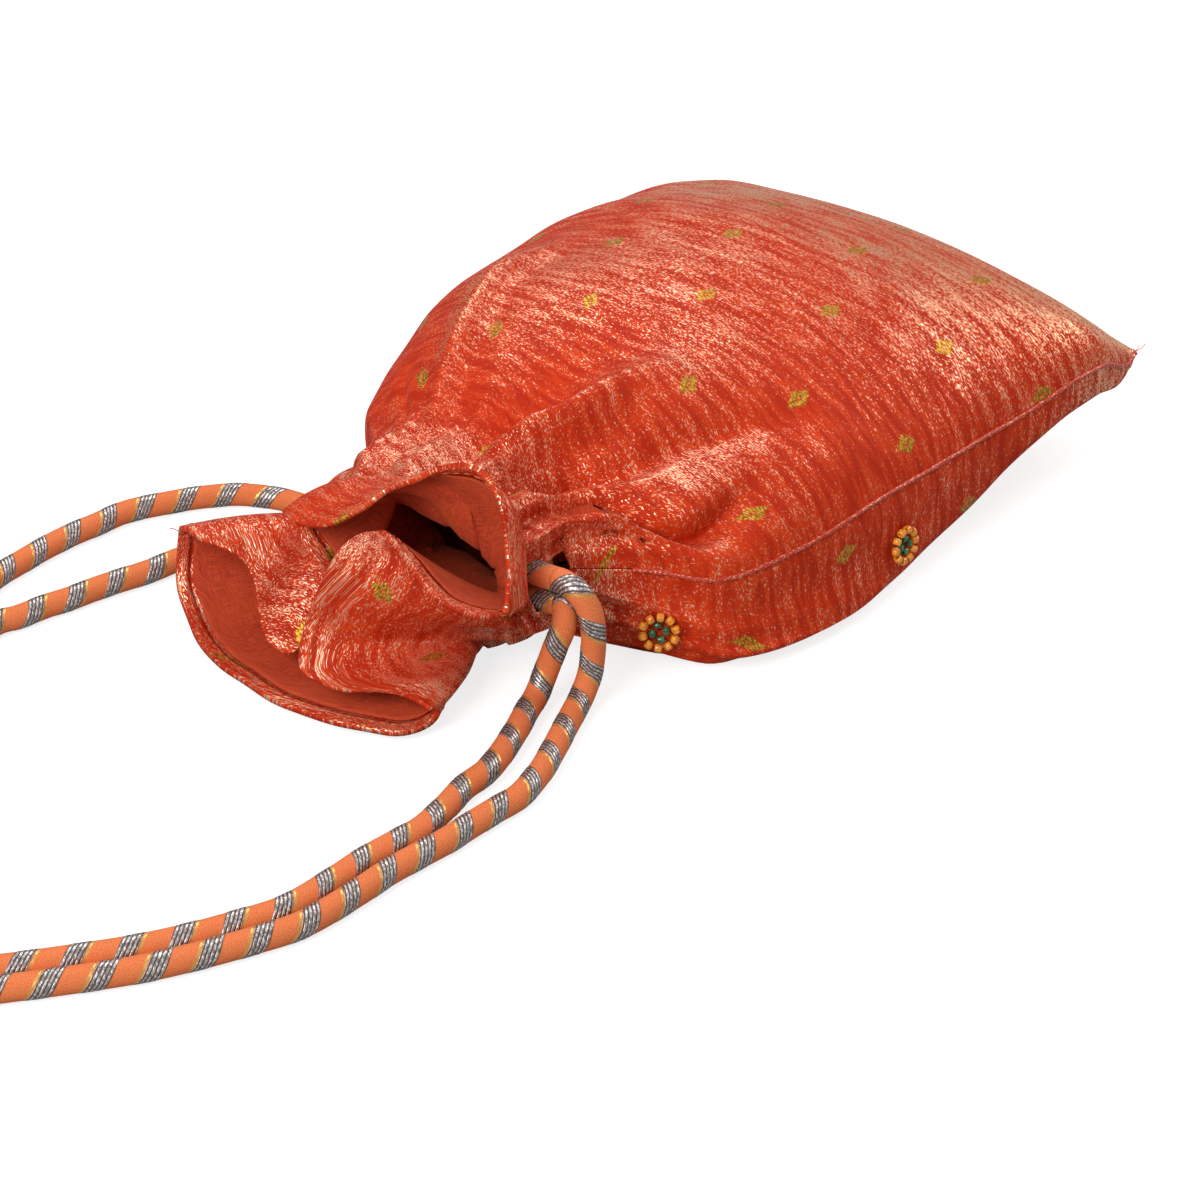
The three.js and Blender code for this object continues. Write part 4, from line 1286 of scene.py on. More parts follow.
def silk_material(name: str, finish: SilkFinish) -> bpy.types.Material:
    """Shot tissue silk: a red ground, metallic threads both ways and woven gold butis, with painted sheen and
    painted highlights in its metal threads.

    Args:
        name: The material's name.
        finish: Its colours.

    Returns:
        The material.
    """
    n = Nodes(name)
    cloth = n.add("ShaderNodeUVMap", uv_map="cloth").outputs[0]
    split = n.add("ShaderNodeSeparateXYZ", {0: cloth})
    u = n.times(split.outputs[0], 1000.0)
    v = n.times(split.outputs[1], 1000.0)
    # metallic dashes: across the bag (weft) and along it (warp)
    weft = n.noise(n.stretched(cloth, (880.0, 3500.0, 1.0)), 1.0, 1.0, 0.4)
    warp = n.noise(n.stretched(cloth, (3500.0, 1000.0, 1.0)), 1.0, 1.0, 0.4)
    patches = n.noise(n.stretched(cloth, (75.0, 420.0, 1.0), 12.0), 1.0, 3.0, 0.6)
    broad = n.noise(n.stretched(cloth, (14.0, 22.0, 1.0)), 1.0, 2.0, 0.5)
    lift = n.line(n.minus(patches, 0.5), 0.55, n.times(n.minus(broad, 0.5), 0.35))
    # painted sheen: the metal threads show more where the cloth faces up towards the lights; they also show
    # more in the gathers of the neck
    normal = n.add("ShaderNodeNewGeometry").outputs["Normal"]
    facing = n.add("ShaderNodeVectorMath", {0: normal, 1: (0.45, 0.10, 0.85)},
                   operation="DOT_PRODUCT").outputs["Value"]
    sheen_zone = n.largest(n.step(facing, 0.45, 0.95), n.times(n.step(v, 12.0, -4.0), 0.85))
    # painted highlight: a pale strip along the body near the far crease and a pale base end, where the metal
    # threads show more and turn pale gold
    ragged_edge = n.times(n.minus(patches, 0.5), 26.0)
    highlight_strip = n.plus(n.size(n.minus(u, 35.0)), ragged_edge)
    highlight_strip = n.times(n.step(highlight_strip, 10.0, 1.0), n.times(n.step(v, -8.0, 30.0), n.step(v, 98.0, 55.0)))
    base_end_highlight = n.step(n.plus(v, n.times(ragged_edge, 2.0)), 84.0, 170.0)
    painted_highlight = n.largest(highlight_strip, n.times(base_end_highlight, 0.85))
    # the painted sheen and the painted highlight let more metal threads show
    lift = n.plus(lift, n.line(sheen_zone, 0.13, -0.12))
    lift = n.plus(lift, n.times(painted_highlight, 0.13))
    # the metal threads turn pale gold in the painted highlight
    metal_colour = n.mix(painted_highlight, finish.silver, finish.painted_highlight)
    weft_mask = n.step(n.plus(weft, n.times(lift, 0.9)), 0.55, 0.66)
    warp_mask = n.step(n.plus(warp, n.times(lift, 0.5)), 0.59, 0.70)
    grain = n.noise(n.stretched(cloth, (1500.0, 1500.0, 1.0)), 1.0, 2.0, 0.6)
    ground = n.mix(n.step(patches, 0.35, 0.65), finish.deep, finish.ground)
    colour = n.mix(n.times(weft_mask, 0.85), ground, metal_colour)
    colour = n.mix(n.times(warp_mask, 0.6), colour, finish.gold)
    # butis in a half-drop lattice
    inverse = np.linalg.inv(BUTI_LATTICE)
    from_v = n.minus(v, BUTI_ORIGIN[0])
    from_u = n.minus(u, BUTI_ORIGIN[1])
    offsets = []
    for row in inverse:
        step = n.line(from_v, float(row[0]), n.times(from_u, float(row[1])))
        offsets.append(n.minus(step, n.math("ROUND", step)))
    dv, du = (n.line(offsets[0], float(row[0]), n.times(offsets[1], float(row[1])))
              for row in BUTI_LATTICE)
    ragged = n.times(n.minus(n.noise(n.stretched(cloth, (1400.0, 2600.0, 1.0)), 1.0, 0.0), 0.5), 0.9)
    reach = n.plus(n.math("DIVIDE", n.size(dv), 3.7), n.math("DIVIDE", n.size(du), 2.5))
    diamond = n.step(n.plus(reach, ragged), 1.06, 0.86)
    ring = n.minus(1.0, n.times(n.step(reach, 0.42, 0.34), n.step(reach, 0.1, 0.2)))
    buti = n.times(diamond, n.line(ring, 0.75, 0.25))
    buti_colour = n.mix(n.step(weft, 0.40, 0.62), finish.buti_dark, finish.buti)
    colour = n.mix(buti, colour, buti_colour)
    metal = n.largest(n.times(n.largest(weft_mask, warp_mask), 0.85), n.times(buti, 0.7))
    rough = n.line(metal, -0.34, n.line(grain, 0.2, 0.52))
    height = n.plus(n.times(weft, 0.6), n.plus(n.times(warp, 0.6), n.times(buti, 0.5)))
    bump = n.add("ShaderNodeBump", {"Strength": 0.55, "Distance": 0.00028, "Height": height})
    wrinkle = n.noise(n.stretched(cloth, (60.0, 230.0, 1.0), 14.0), 1.0, 4.0, 0.6)
    wrinkled = n.add("ShaderNodeBump", {
        "Strength": 0.5, "Distance": 0.0009, "Height": wrinkle, "Normal": bump.outputs[0]})
    shader = n.add("ShaderNodeBsdfPrincipled", {
        "Base Color": colour, "Metallic": metal, "Roughness": rough, "Normal": wrinkled.outputs[0],
        "Specular IOR Level": 0.12, "Anisotropic": 0.3,
    })
    return n.finish(shader.outputs[0])


def lining_material() -> bpy.types.Material:
    """Orange cotton in plain weave.

    Returns:
        The material.
    """
    n = Nodes("lining_cotton")
    cloth = n.add("ShaderNodeUVMap", uv_map="cloth").outputs[0]
    warp = n.noise(n.stretched(cloth, (3000.0, 260.0, 1.0)), 1.0, 1.0)
    weft = n.noise(n.stretched(cloth, (260.0, 3000.0, 1.0)), 1.0, 1.0)
    mottle = n.noise(n.stretched(cloth, (90.0, 90.0, 1.0)), 1.0, 3.0)
    weave = n.times(warp, weft)
    colour = n.mix(n.step(weave, 0.12, 0.38), (0.38, 0.022, 0.003, 1), (0.60, 0.060, 0.010, 1))
    colour = n.mix(n.times(n.step(mottle, 0.3, 0.7), 0.35), colour, (0.66, 0.08, 0.014, 1))
    bump = n.add("ShaderNodeBump", {"Strength": 0.5, "Distance": 0.0003, "Height": weave})
    shader = n.add("ShaderNodeBsdfPrincipled", {
        "Base Color": colour, "Roughness": 0.85, "Normal": bump.outputs[0],
        "Sheen Weight": 0.1, "Sheen Roughness": 0.5, "Sheen Tint": (1.0, 0.4, 0.2, 1),
    })
    return n.finish(shader.outputs[0])


def cord_material() -> bpy.types.Material:
    """Orange cotton cord wound with a helical band of silver threads and a gold edge thread.

    Returns:
        The material.
    """
    n = Nodes("cord_cotton_and_silver")
    cloth = n.add("ShaderNodeUVMap", uv_map="cloth").outputs[0]
    split = n.add("ShaderNodeSeparateXYZ", {0: cloth})
    place = n.line(split.outputs[1], 100.0 / CORD_PITCH, split.outputs[0])
    phase = n.math("FRACT", place)
    band = n.times(n.step(phase, 0.03, 0.06), n.step(phase, BAND_SHARE, BAND_SHARE - 0.03))
    gold = n.times(n.step(phase, BAND_SHARE, BAND_SHARE + 0.01),
                   n.step(phase, BAND_SHARE + 0.065, BAND_SHARE + 0.05))
    thread = n.math("COSINE", n.times(phase, TURN * THREADS / BAND_SHARE))
    threads = n.step(thread, -0.9, 0.2)
    glint = n.noise(n.stretched(cloth, (22.0, 160.0, 1.0)), 1.0, 2.0, 0.6)
    weave = n.noise(n.stretched(cloth, (60.0, 360.0, 1.0), 20.0), 1.0, 2.0, 0.6)
    cotton = n.mix(n.step(weave, 0.35, 0.65), (0.68, 0.14, 0.035, 1), (0.88, 0.24, 0.075, 1))
    silver = n.mix(n.step(glint, 0.42, 0.62), (0.30, 0.27, 0.26, 1), (0.86, 0.85, 0.84, 1))
    silver = n.mix(threads, (0.16, 0.10, 0.08, 1), silver)
    colour = n.mix(band, cotton, silver)
    colour = n.mix(gold, colour, (0.78, 0.47, 0.12, 1))
    metal = n.times(n.largest(band, gold), 0.75)
    rough = n.line(n.largest(band, gold), -0.5, 0.85)
    height = n.plus(n.times(band, n.line(threads, 0.6, 0.4)), n.times(weave, 0.3))
    bump = n.add("ShaderNodeBump", {"Strength": 0.6, "Distance": 0.0004, "Height": height})
    shader = n.add("ShaderNodeBsdfPrincipled", {
        "Base Color": colour, "Metallic": metal, "Roughness": rough, "Normal": bump.outputs[0]})
    return n.finish(shader.outputs[0])


def thread_material() -> bpy.types.Material:
    """Twisted sewing thread.

    Returns:
        The material.
    """
    n = Nodes("sewing_thread")
    place = n.add("ShaderNodeTexCoord").outputs["Object"]
    twist = n.noise(place, 2600.0, 1.0)
    colour = n.mix(twist, (0.45, 0.06, 0.012, 1), (0.78, 0.20, 0.06, 1))
    shader = n.add("ShaderNodeBsdfPrincipled", {"Base Color": colour, "Roughness": 0.6})
    return n.finish(shader.outputs[0])


def bead_material(name: str, deep: tuple, light: tuple) -> bpy.types.Material:
    """Glossy bead glass.

    Args:
        name: The material's name.
        deep: Its darker colour.
        light: Its lighter colour.

    Returns:
        The material.
    """
    n = Nodes(name)
    place = n.add("ShaderNodeTexCoord").outputs["Object"]
    colour = n.mix(n.step(n.noise(place, 900.0, 2.0), 0.35, 0.65), deep, light)
    shader = n.add("ShaderNodeBsdfPrincipled", {
        "Base Color": colour, "Roughness": 0.12, "Coat Weight": 0.6, "Coat Roughness": 0.05,
        "Subsurface Weight": 0.15, "Subsurface Scale": 0.001})
    return n.finish(shader.outputs[0])


def piping_material() -> bpy.types.Material:
    """The same silk, folded tight in the rolled seams.

    Returns:
        The material.
    """
    n = Nodes("rolled_seam_silk")
    place = n.add("ShaderNodeTexCoord").outputs["Object"]
    glint = n.noise(n.stretched(place, (2200.0, 2200.0, 2600.0)), 1.0, 1.0, 0.4)
    colour = n.mix(n.step(glint, 0.55, 0.68), (0.52, 0.030, 0.006, 1), (0.90, 0.45, 0.30, 1))
    bump = n.add("ShaderNodeBump", {"Strength": 0.6, "Distance": 0.0003, "Height": glint})
    shader = n.add("ShaderNodeBsdfPrincipled", {
        "Base Color": colour, "Metallic": n.times(n.step(glint, 0.55, 0.68), 0.8),
        "Roughness": 0.45, "Normal": bump.outputs[0]})
    return n.finish(shader.outputs[0])


@dataclass(frozen=True)
class StitchSizes:
    """Sizes of a row of stitches, in millimetres."""

    pitch: float = 2.7
    length: float = 1.9
    radius: float = 0.17
    spread: float = 0.12
    seed: int = 7


class StitchBuilder:
    """Lays rows of stitches along lines on the cloth."""

    def __init__(self, material: bpy.types.Material) -> None:
        """Keeps the thread's material and makes the node group.

        Args:
            material: The thread's material.
        """
        self.material = material
        self.group = self.make_group()

    def make_group(self) -> bpy.types.NodeTree:
        """Makes the node group that repeats one stitch along a curve.

        Returns:
            The node group.
        """
        group = bpy.data.node_groups.new("stitch_row", "GeometryNodeTree")
        usual = StitchSizes()
        sockets = (
            ("Geometry", "NodeSocketGeometry", None),
            ("Pitch", "NodeSocketFloat", usual.pitch * MM),
            ("Stitch Length", "NodeSocketFloat", usual.length * MM),
            ("Thread Radius", "NodeSocketFloat", usual.radius * MM),
            ("Spread", "NodeSocketFloat", usual.spread),
            ("Seed", "NodeSocketInt", usual.seed),
            ("Thread", "NodeSocketMaterial", None),
        )
        for name, kind, default in sockets:
            socket = group.interface.new_socket(name=name, in_out="INPUT", socket_type=kind)
            if default is not None:
                socket.default_value = default
        group.interface.new_socket(name="Geometry", in_out="OUTPUT", socket_type="NodeSocketGeometry")
        nodes, links = group.nodes, group.links
        source = nodes.new("NodeGroupInput")
        points = nodes.new("GeometryNodeCurveToPoints")
        points.mode = "LENGTH"
        stitch = nodes.new("GeometryNodeMeshUVSphere")
        stitch.inputs["Segments"].default_value = 8
        stitch.inputs["Rings"].default_value = 6
        stitch.inputs["Radius"].default_value = 1.0
        half = nodes.new("ShaderNodeMath")
        half.operation = "MULTIPLY"
        half.inputs[1].default_value = 0.5
        size = nodes.new("ShaderNodeCombineXYZ")
        shape = nodes.new("GeometryNodeTransform")
        vary = nodes.new("FunctionNodeRandomValue")
        vary.data_type = "FLOAT"
        low = nodes.new("ShaderNodeMath")
        low.operation = "SUBTRACT"
        low.inputs[0].default_value = 1.0
        place = nodes.new("GeometryNodeInstanceOnPoints")
        realize = nodes.new("GeometryNodeRealizeInstances")
        finish = nodes.new("GeometryNodeSetMaterial")
        out = nodes.new("NodeGroupOutput")
        for start, output, end, entry in (
            (source, "Geometry", points, "Curve"),
            (source, "Pitch", points, "Length"),
            (source, "Stitch Length", half, 0),
            (source, "Thread Radius", size, "X"),
            (source, "Thread Radius", size, "Y"),
            (half, 0, size, "Z"),
            (stitch, "Mesh", shape, "Geometry"),
            (size, 0, shape, "Scale"),
            (source, "Spread", low, 1),
            (low, 0, vary, 2),
            (source, "Seed", vary, "Seed"),
            (points, "Points", place, "Points"),
            (points, "Rotation", place, "Rotation"),
            (shape, 0, place, "Instance"),
            (vary, 1, place, "Scale"),
            (place, 0, realize, 0),
            (realize, 0, finish, "Geometry"),
            (source, "Thread", finish, "Material"),
            (finish, 0, out, 0),
        ):
            links.new(start.outputs[output], end.inputs[entry])
        return group

    def row(self, name: str, lines: Sequence[np.ndarray], sizes: StitchSizes, slot: str) -> bpy.types.Object:
        """Makes rows of stitches along lines.

        Args:
            name: The object's name.
            lines: The lines, in millimetres.
            sizes: The stitches' sizes.
            slot: Not used.

        Returns:
            The stitches as a mesh.
        """
        curve = bpy.data.curves.new(name + "_line", "CURVE")
        curve.dimensions = "3D"
        for line in lines:
            spline = curve.splines.new("POLY")
            spline.points.add(len(line) - 1)
            flat = np.concatenate([line * MM, np.ones((len(line), 1))], 1)
            spline.points.foreach_set("co", flat.astype(np.float32).ravel())
        carrier = bpy.data.objects.new(name + "_line", curve)
        bpy.context.scene.collection.objects.link(carrier)
        modifier = carrier.modifiers.new("stitches", "NODES")
        modifier.node_group = self.group
        values = {
            "Pitch": sizes.pitch * MM, "Stitch Length": sizes.length * MM,
            "Thread Radius": sizes.radius * MM, "Spread": sizes.spread, "Seed": sizes.seed,
            "Thread": self.material,
        }
        for item in self.group.interface.items_tree:
            if item.in_out == "INPUT" and item.name in values:
                modifier[item.identifier] = values[item.name]
        depsgraph = bpy.context.evaluated_depsgraph_get()
        mesh = bpy.data.meshes.new_from_object(carrier.evaluated_get(depsgraph), depsgraph=depsgraph)
        bpy.data.objects.remove(carrier)
        mesh.name = name
        mesh.polygons.foreach_set("use_smooth", [True] * len(mesh.polygons))
        obj = bpy.data.objects.new(name, mesh)
        bpy.context.scene.collection.objects.link(obj)
        if not mesh.materials:
            mesh.materials.append(self.material)
        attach(obj, "root")
        LOG.info("%s: %d faces", name, len(mesh.polygons))
        return obj


@dataclass(frozen=True)
class TrimSizes:
    """Sizes of the rolled seams, loose threads and beads, in millimetres."""

    roll_radius: float = 0.62
    roll_unevenness: float = 0.08
    roll_step: float = 0.9
    roll_sides: int = 10
    roll_lowest: float = 0.75
    base_overhang: float = 0.35
    stitch_proud: float = 0.06
    channel_stitch_proud: float = 0.08
    thread_radius: float = 0.11
    thread_sides: int = 6
    thread_points: int = 16
    corner_threads: int = 5
    rim_thread: float = 2.2
    thread_lowest: float = 0.2
    bead_bore: float = 0.35
    bead_rings: int = 12
    bead_sides: int = 20
    bead_blunt: float = 0.8


class TrimBuilder:
    """Rolled seams, rows of stitches, loose threads and beads."""

    def __init__(self, form: BagForm, grid: ClothGrid) -> None:
        """Keeps the form and the silk's grid.

        Args:
            form: The bag's shape.
            grid: The silk's grid.
        """
        self.form = form
        self.grid = grid
        self.sizes = TrimSizes()

    def seam_line(self, column: int, first: int, last: int, outwards: float) -> np.ndarray:
        """A line along a side seam.

        Args:
            column: The seam's fine column.
            first: First row.
            last: Last row.
            outwards: How far it stands out of the cloth.

        Returns:
            The line's points.
        """
        rows = self.grid.rows[first:last, column]
        return rows + self.grid.normals[first:last, column] * outwards

    def rolled_seams(self, material: bpy.types.Material) -> None:
        """The narrow rolls of cloth along the side seams and the base seam.

        Args:
            material: Their material.
        """
        sizes = self.sizes

        def round_roll(length: float, angles: np.ndarray) -> np.ndarray:
            """Radius of a roll, a little uneven along it."""
            uneven = 1 + sizes.roll_unevenness * math.sin(length * 1.7)
            return np.full_like(angles, sizes.roll_radius) * uneven

        last = self.grid.body_count - 6
        base = self.grid.rows[0]
        half = self.form.back_count
        back_edge = base[: half + 1]
        base_line = np.stack([back_edge[:, 0] + sizes.base_overhang, back_edge[:, 1],
                              back_edge[:, 2] - self.form.base_half], -1)
        lines = {
            "near_rolled_seam": self.seam_line(0, 2, last, 0.05),
            "far_rolled_seam": self.seam_line(half, 2, last, 0.05),
            "base_rolled_seam": base_line,
        }
        for name, line in lines.items():
            line[:, 2] = np.maximum(line[:, 2], sizes.roll_lowest)
            length = np.linalg.norm(np.diff(line, axis=0), axis=1).sum()
            path = centripetal(line[::3], int(length / sizes.roll_step))
            give(tube_object(name, path, round_roll, sizes.roll_sides), material, "silk")

    def stitches(self, builder: StitchBuilder) -> None:
        """Rows of stitches at the hem and at both edges of the channel.

        Args:
            builder: Lays the stitches.
        """
        grid = self.grid
        proud = self.sizes.stitch_proud

        def ring(row: int, distance: float) -> np.ndarray:
            """A closed line round the bag, a distance out of the cloth."""
            line = grid.rows[row] + grid.normals[row] * distance
            return np.concatenate([line, line[:1]])

        hem = len(grid.rows) - 5
        both = [ring(hem, proud), ring(hem, -(grid.depth[hem] + proud))]
        builder.row("hem_stitches", both, StitchSizes(), "silk")
        edges = [ring(row, self.sizes.channel_stitch_proud)
                 for row in (grid.body_count - 1, grid.body_count + grid.channel_count + 1)]
        builder.row("channel_stitches", edges, StitchSizes(pitch=2.4, length=1.7), "silk")

    def loose_threads(self, material: bpy.types.Material) -> None:
        """Frayed ends at the near corner of the base and at the hem's seam ends.

        Args:
            material: The thread's material.
        """
        sizes = self.sizes
        corner = self.grid.rows[0, 0]
        rim = self.grid.rows[-1]
        starts = []
        for k in range(sizes.corner_threads):
            start = corner + np.array([0.2, 0.6 * k, 0.5 - 0.3 * k])
            starts.append((start, np.array([1.0, 0.25 * k - 0.4, 0.5 - 0.35 * k]), 3.2 - 0.4 * k))
        for column, side in ((0, -0.6), (self.form.back_count, 0.5), (3, -0.2)):
            starts.append((rim[column], np.array([-0.8, side, 0.5]), sizes.rim_thread))

        def thread_radius(_: float, angles: np.ndarray) -> np.ndarray:
            """Radius of a thread, the same all along it."""
            return np.full_like(angles, sizes.thread_radius)

        for number, (start, way, length) in enumerate(starts, 1):
            way = way / np.linalg.norm(way)
            bend = np.cross(way, (0.0, 0.0, 1.0)) * 0.25
            points = np.array([start + length * (t * way + math.sin(2.6 * t + number) * t * bend)
                               for t in np.linspace(0, 1, 7)])
            points[:, 2] = np.maximum(points[:, 2], sizes.thread_lowest)
            path = centripetal(points, sizes.thread_points)
            tube = tube_object(f"loose_thread_{number}", path, thread_radius, sizes.thread_sides)
            give(tube, material, "silk")

    def bead(self, node: bpy.types.Object, material: bpy.types.Material, slot: str) -> None:
        """A round bored bead in the place of a bead of the frame.

        Args:
            node: The bead's node.
            material: Its material.
            slot: The record's material slot.
        """
        sizes = self.sizes
        corners = np.array([tuple(node.matrix_world @ v.co) for v in node.data.vertices]) / MM
        corners = np.unique(corners.round(5), axis=0)
        middle = corners.mean(0)
        values, vectors = np.linalg.eigh(np.cov((corners - middle).T))
        axis = vectors[:, int(np.argmax(np.abs(values - np.median(values))))]
        along = (corners - middle) @ axis
        half = (along.max() - along.min()) / 2
        centre = middle + axis * (along.max() + along.min()) / 2
        offsets = corners - centre
        outside = np.linalg.norm(offsets - np.outer(offsets @ axis, axis), axis=1).max()
        side = np.cross(axis, (0.0, 0.0, 1.0) if abs(axis[2]) < 0.9 else (1.0, 0.0, 0.0))
        side /= np.linalg.norm(side)
        other = np.cross(axis, side)
        ring_radius = (outside + sizes.bead_bore) / 2
        thick = (outside - sizes.bead_bore) / 2

        def blunt(value: float) -> float:
            """A sine or cosine, rounded off less."""
            return math.copysign(abs(value) ** sizes.bead_blunt, value)

        rings, sides = sizes.bead_rings, sizes.bead_sides
        vertices, faces = [], []
        for ring in range(rings):
            angle = TURN * ring / rings
            radius = ring_radius + thick * blunt(math.cos(angle))
            height = half * blunt(math.sin(angle))
            following = (ring + 1) % rings
            for k in range(sides):
                round_angle = TURN * k / sides
                out = math.cos(round_angle) * side + math.sin(round_angle) * other
                vertices.append(centre + axis * height + radius * out)
                beside = (k + 1) % sides
                faces.append([ring * sides + k, ring * sides + beside, following * sides + beside,
                              following * sides + k])
        bead = make_object(node.name + "_round", np.array(vertices), faces)
        give(bead, material, slot, node.name)


def direction(azimuth: float, elevation: float) -> Vector:
    """The way from the bag to a camera or light.

    Args:
        azimuth: Direction round the bag, in degrees, as for the views.
        elevation: Height angle, in degrees.

    Returns:
        The way, of length 1.
    """
    a, e = math.radians(azimuth), math.radians(elevation)
    return Vector((math.sin(a) * math.cos(e), -math.cos(a) * math.cos(e), math.sin(e)))


@dataclass(frozen=True)
class Lamp:
    """A soft square light: its place in degrees and metres, its side and its power in watts."""

    name: str
    azimuth: float
    elevation: float
    distance: float
    size: float
    power: float


@dataclass(frozen=True)
class StudioSizes:
    """Camera, lights, world and floor of the studio."""

    target: tuple = (-0.065, 0.008, 0.025)
    azimuth: float = -48.0
    elevation: float = 31.0
    distance: float = 0.76
    lens: float = 96.0
    shift: tuple = (130 / 1200, -95 / 1200)
    lamps: tuple = (
        Lamp("key", 140.0, 50.0, 0.9, 0.45, 2.8),
        Lamp("side", 70.0, 32.0, 0.9, 0.4, 2.6),
        Lamp("fill", -85.0, 36.0, 1.1, 0.5, 6.5),
    )
    sky: tuple = (-0.35, -0.15, 0.92)
    darkest: float = 0.05
    brightest: float = 0.66
    floor_half: float = 3000.0
    floor_depth: float = -0.05
    floor_grey: float = 0.42
    floor_glow: float = 0.78


class Studio:
    """Camera, floor and lights."""

    def __init__(self, sizes: StudioSizes) -> None:
        """Keeps the studio's sizes.

        Args:
            sizes: The sizes.
        """
        self.sizes = sizes

    @staticmethod
    def put(obj: bpy.types.Object, place: Vector, away: Vector) -> None:
        """Puts a camera or light in its place, looking back along its way from the bag.

        Args:
            obj: The camera or light.
            place: Its place.
            away: Its way from the bag.
        """
        obj.location = place
        obj.rotation_euler = (-away).to_track_quat("-Z", "Y").to_euler()
        bpy.context.scene.collection.objects.link(obj)

    def camera(self) -> None:
        """Places the camera at the photograph's viewing angle."""
        sizes = self.sizes
        data = bpy.data.cameras.new("camera")
        data.lens = sizes.lens
        data.sensor_width = 36.0
        data.shift_x, data.shift_y = sizes.shift
        data.clip_start = 0.01
        camera = bpy.data.objects.new("camera", data)
        away = direction(sizes.azimuth, sizes.elevation)
        self.put(camera, Vector(sizes.target) + sizes.distance * away, away)
        bpy.context.scene.camera = camera

    def light(self, lamp: Lamp) -> None:
        """Adds a soft square light.

        Args:
            lamp: Its place, size and power.
        """
        data = bpy.data.lights.new(lamp.name, "AREA")
        data.shape = "SQUARE"
        data.size = lamp.size
        data.energy = lamp.power
        away = direction(lamp.azimuth, lamp.elevation)
        self.put(bpy.data.objects.new(lamp.name, data), lamp.distance * away, away)

    def world(self) -> None:
        """Sets a white world, brighter above and in front of the mouth than near the floor."""
        world = bpy.data.worlds.new("studio")
        bpy.context.scene.world = world
        world.use_nodes = True
        tree = world.node_tree
        tree.nodes.clear()
        path = tree.nodes.new("ShaderNodeLightPath")
        dim = tree.nodes.new("ShaderNodeBackground")
        place = tree.nodes.new("ShaderNodeTexCoord")
        facing = tree.nodes.new("ShaderNodeVectorMath")
        facing.operation = "DOT_PRODUCT"
        facing.inputs[1].default_value = self.sizes.sky
        level = tree.nodes.new("ShaderNodeMapRange")
        bright = tree.nodes.new("ShaderNodeBackground")
        blend = tree.nodes.new("ShaderNodeMixShader")
        out = tree.nodes.new("ShaderNodeOutputWorld")
        for node, socket, value in (
            (dim, 0, (1, 1, 1, 1)), (bright, 0, (1, 1, 1, 1)), (bright, 1, 1.0),
            (level, "From Min", -0.1), (level, "From Max", 1.0),
            (level, "To Min", self.sizes.darkest), (level, "To Max", self.sizes.brightest),
        ):
            node.inputs[socket].default_value = value
        for start, output, end, entry in (
            (place, "Generated", facing, 0), (facing, "Value", level, "Value"), (level, "Result", dim, 1),
            (path, "Is Camera Ray", blend, 0), (dim, 0, blend, 1), (bright, 0, blend, 2), (blend, 0, out, 0),
        ):
            tree.links.new(start.outputs[output], end.inputs[entry])

    def floor(self) -> None:
        """Lays a white floor that keeps only a faint shadow."""
        half, depth, grey = self.sizes.floor_half, self.sizes.floor_depth, self.sizes.floor_grey
        sides = ((-half, -half), (half, -half), (half, half), (-half, half))
        corners = np.array([(x, y, depth) for x, y in sides])
        floor = make_object("floor", corners, [[0, 1, 2, 3]])
        n = Nodes("floor_white")
        path = n.add("ShaderNodeLightPath")
        diffuse = n.add("ShaderNodeBsdfDiffuse", {"Color": (grey, grey, grey, 1)}).outputs[0]
        glow = n.add("ShaderNodeEmission", {"Color": (1, 1, 1, 1), "Strength": self.sizes.floor_glow})
        both = n.add("ShaderNodeAddShader", {0: diffuse, 1: glow.outputs[0]}).outputs[0]
        pick = n.add("ShaderNodeMixShader", {0: path.outputs["Is Camera Ray"], 1: diffuse, 2: both})
        floor.data.materials.append(n.finish(pick.outputs[0]))

    def build(self) -> None:
        """Makes the floor, the world and the lights."""
        self.floor()
        self.world()
        for lamp in self.sizes.lamps:
            self.light(lamp)
        bpy.context.scene.view_settings.view_transform = "Standard"


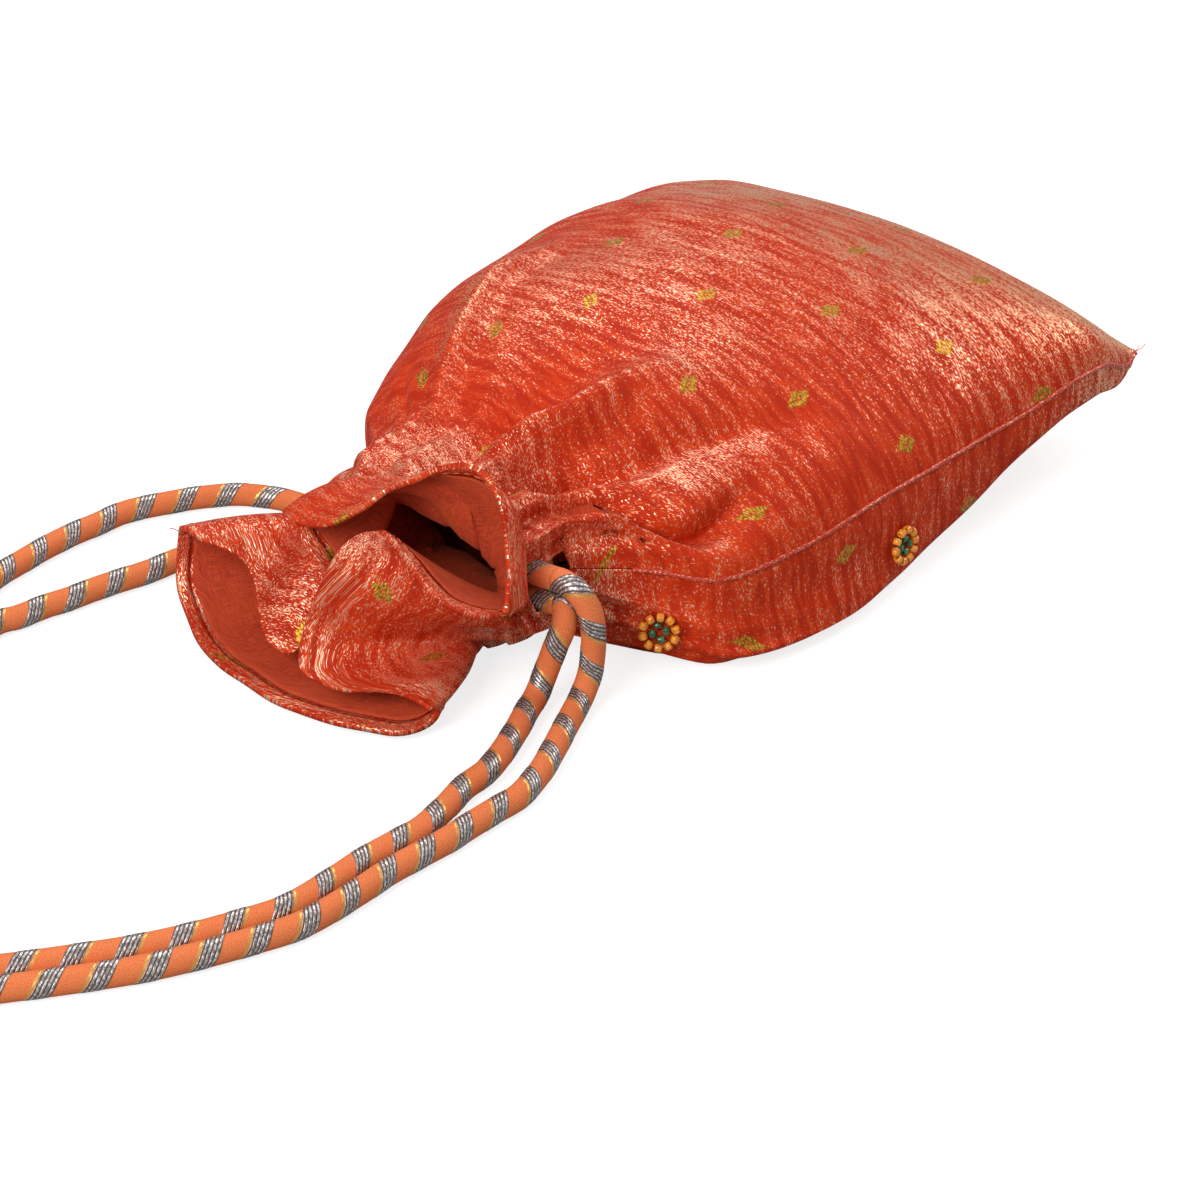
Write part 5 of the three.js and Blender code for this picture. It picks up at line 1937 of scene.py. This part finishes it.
def give(obj: bpy.types.Object, material: bpy.types.Material, slot: str, *nodes: str) -> bpy.types.Object:
    """Gives a piece its material, hangs it on the root body and hides the nodes that it stands for.

    Args:
        obj: The piece.
        material: Its material.
        slot: Not used.
        nodes: The nodes it replaces.

    Returns:
        The piece.
    """
    obj.data.materials.append(material)
    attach(obj, "root")
    if nodes:
        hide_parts(*nodes)
    LOG.info("%s: %d faces", obj.name, len(obj.data.polygons))
    return obj


def declare_cord(path: np.ndarray) -> None:
    """Lists every fourth point of a free loop of cord, and its last, in metres; the list is not used.

    Args:
        path: Its middle line in millimetres.
    """
    points = (path[::4] * MM).tolist()
    if (path[-1] * MM).tolist() != points[-1]:
        points.append((path[-1] * MM).tolist())


def main() -> None:
    """Builds the scene."""
    logging.basicConfig(level=logging.INFO, format="%(message)s")
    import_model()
    studio = Studio(StudioSizes())
    studio.camera()

    form = BagForm(BodySizes(), ClothSizes(), CordSizes())
    cords = CordBuilder(form)
    cord_finish = cord_material()
    for side, column, lane, first, route, skips in (
        ("near", 0, form.mouth_lane, -1, NEAR_LOOP, (5, 5)),
        ("far", BACK_COLUMNS, form.body_lane, 1, FAR_LOOP, (8, 4)),
    ):
        path = cords.loop_path(column, lane, first, route)
        loop = give(cords.loop(f"{side}_cord_loop", path), cord_finish, "cord", f"{side}_drawstring_loop")
        declare_cord(path)
        give(cords.run(f"{side}_cord_run", column, lane, *skips), cord_finish, "cord",
             f"{side}_drawstring_in_channel")

    cloth = ClothBuilder(form)
    silk = silk_material("tissue_silk", SilkFinish())
    cotton = lining_material()
    for panel in Panel:
        outside = give(cloth.silk(panel), silk, "silk", f"outer_{panel.value}_panel")
        inside = give(cloth.lining(panel), cotton, "lining", f"lining_{panel.value}_panel")

    seams = piping_material()
    thread = thread_material()
    trim = TrimBuilder(form, cloth.grid)
    trim.rolled_seams(seams)
    trim.stitches(StitchBuilder(thread))
    trim.loose_threads(thread)
    studio.build()
    glass = {
        "orange": bead_material("orange_bead_glass", (0.80, 0.20, 0.01, 1), (0.95, 0.42, 0.03, 1)),
        "green": bead_material("green_bead_glass", (0.01, 0.09, 0.03, 1), (0.04, 0.22, 0.08, 1)),
    }
    for obj in list(bpy.data.objects):
        if "_bead_" in obj.name and obj.type == "MESH":
            colour = "orange" if "orange" in obj.name else "green"
            trim.bead(obj, glass[colour], colour + "_bead")


if __name__ == "__main__":
    main()
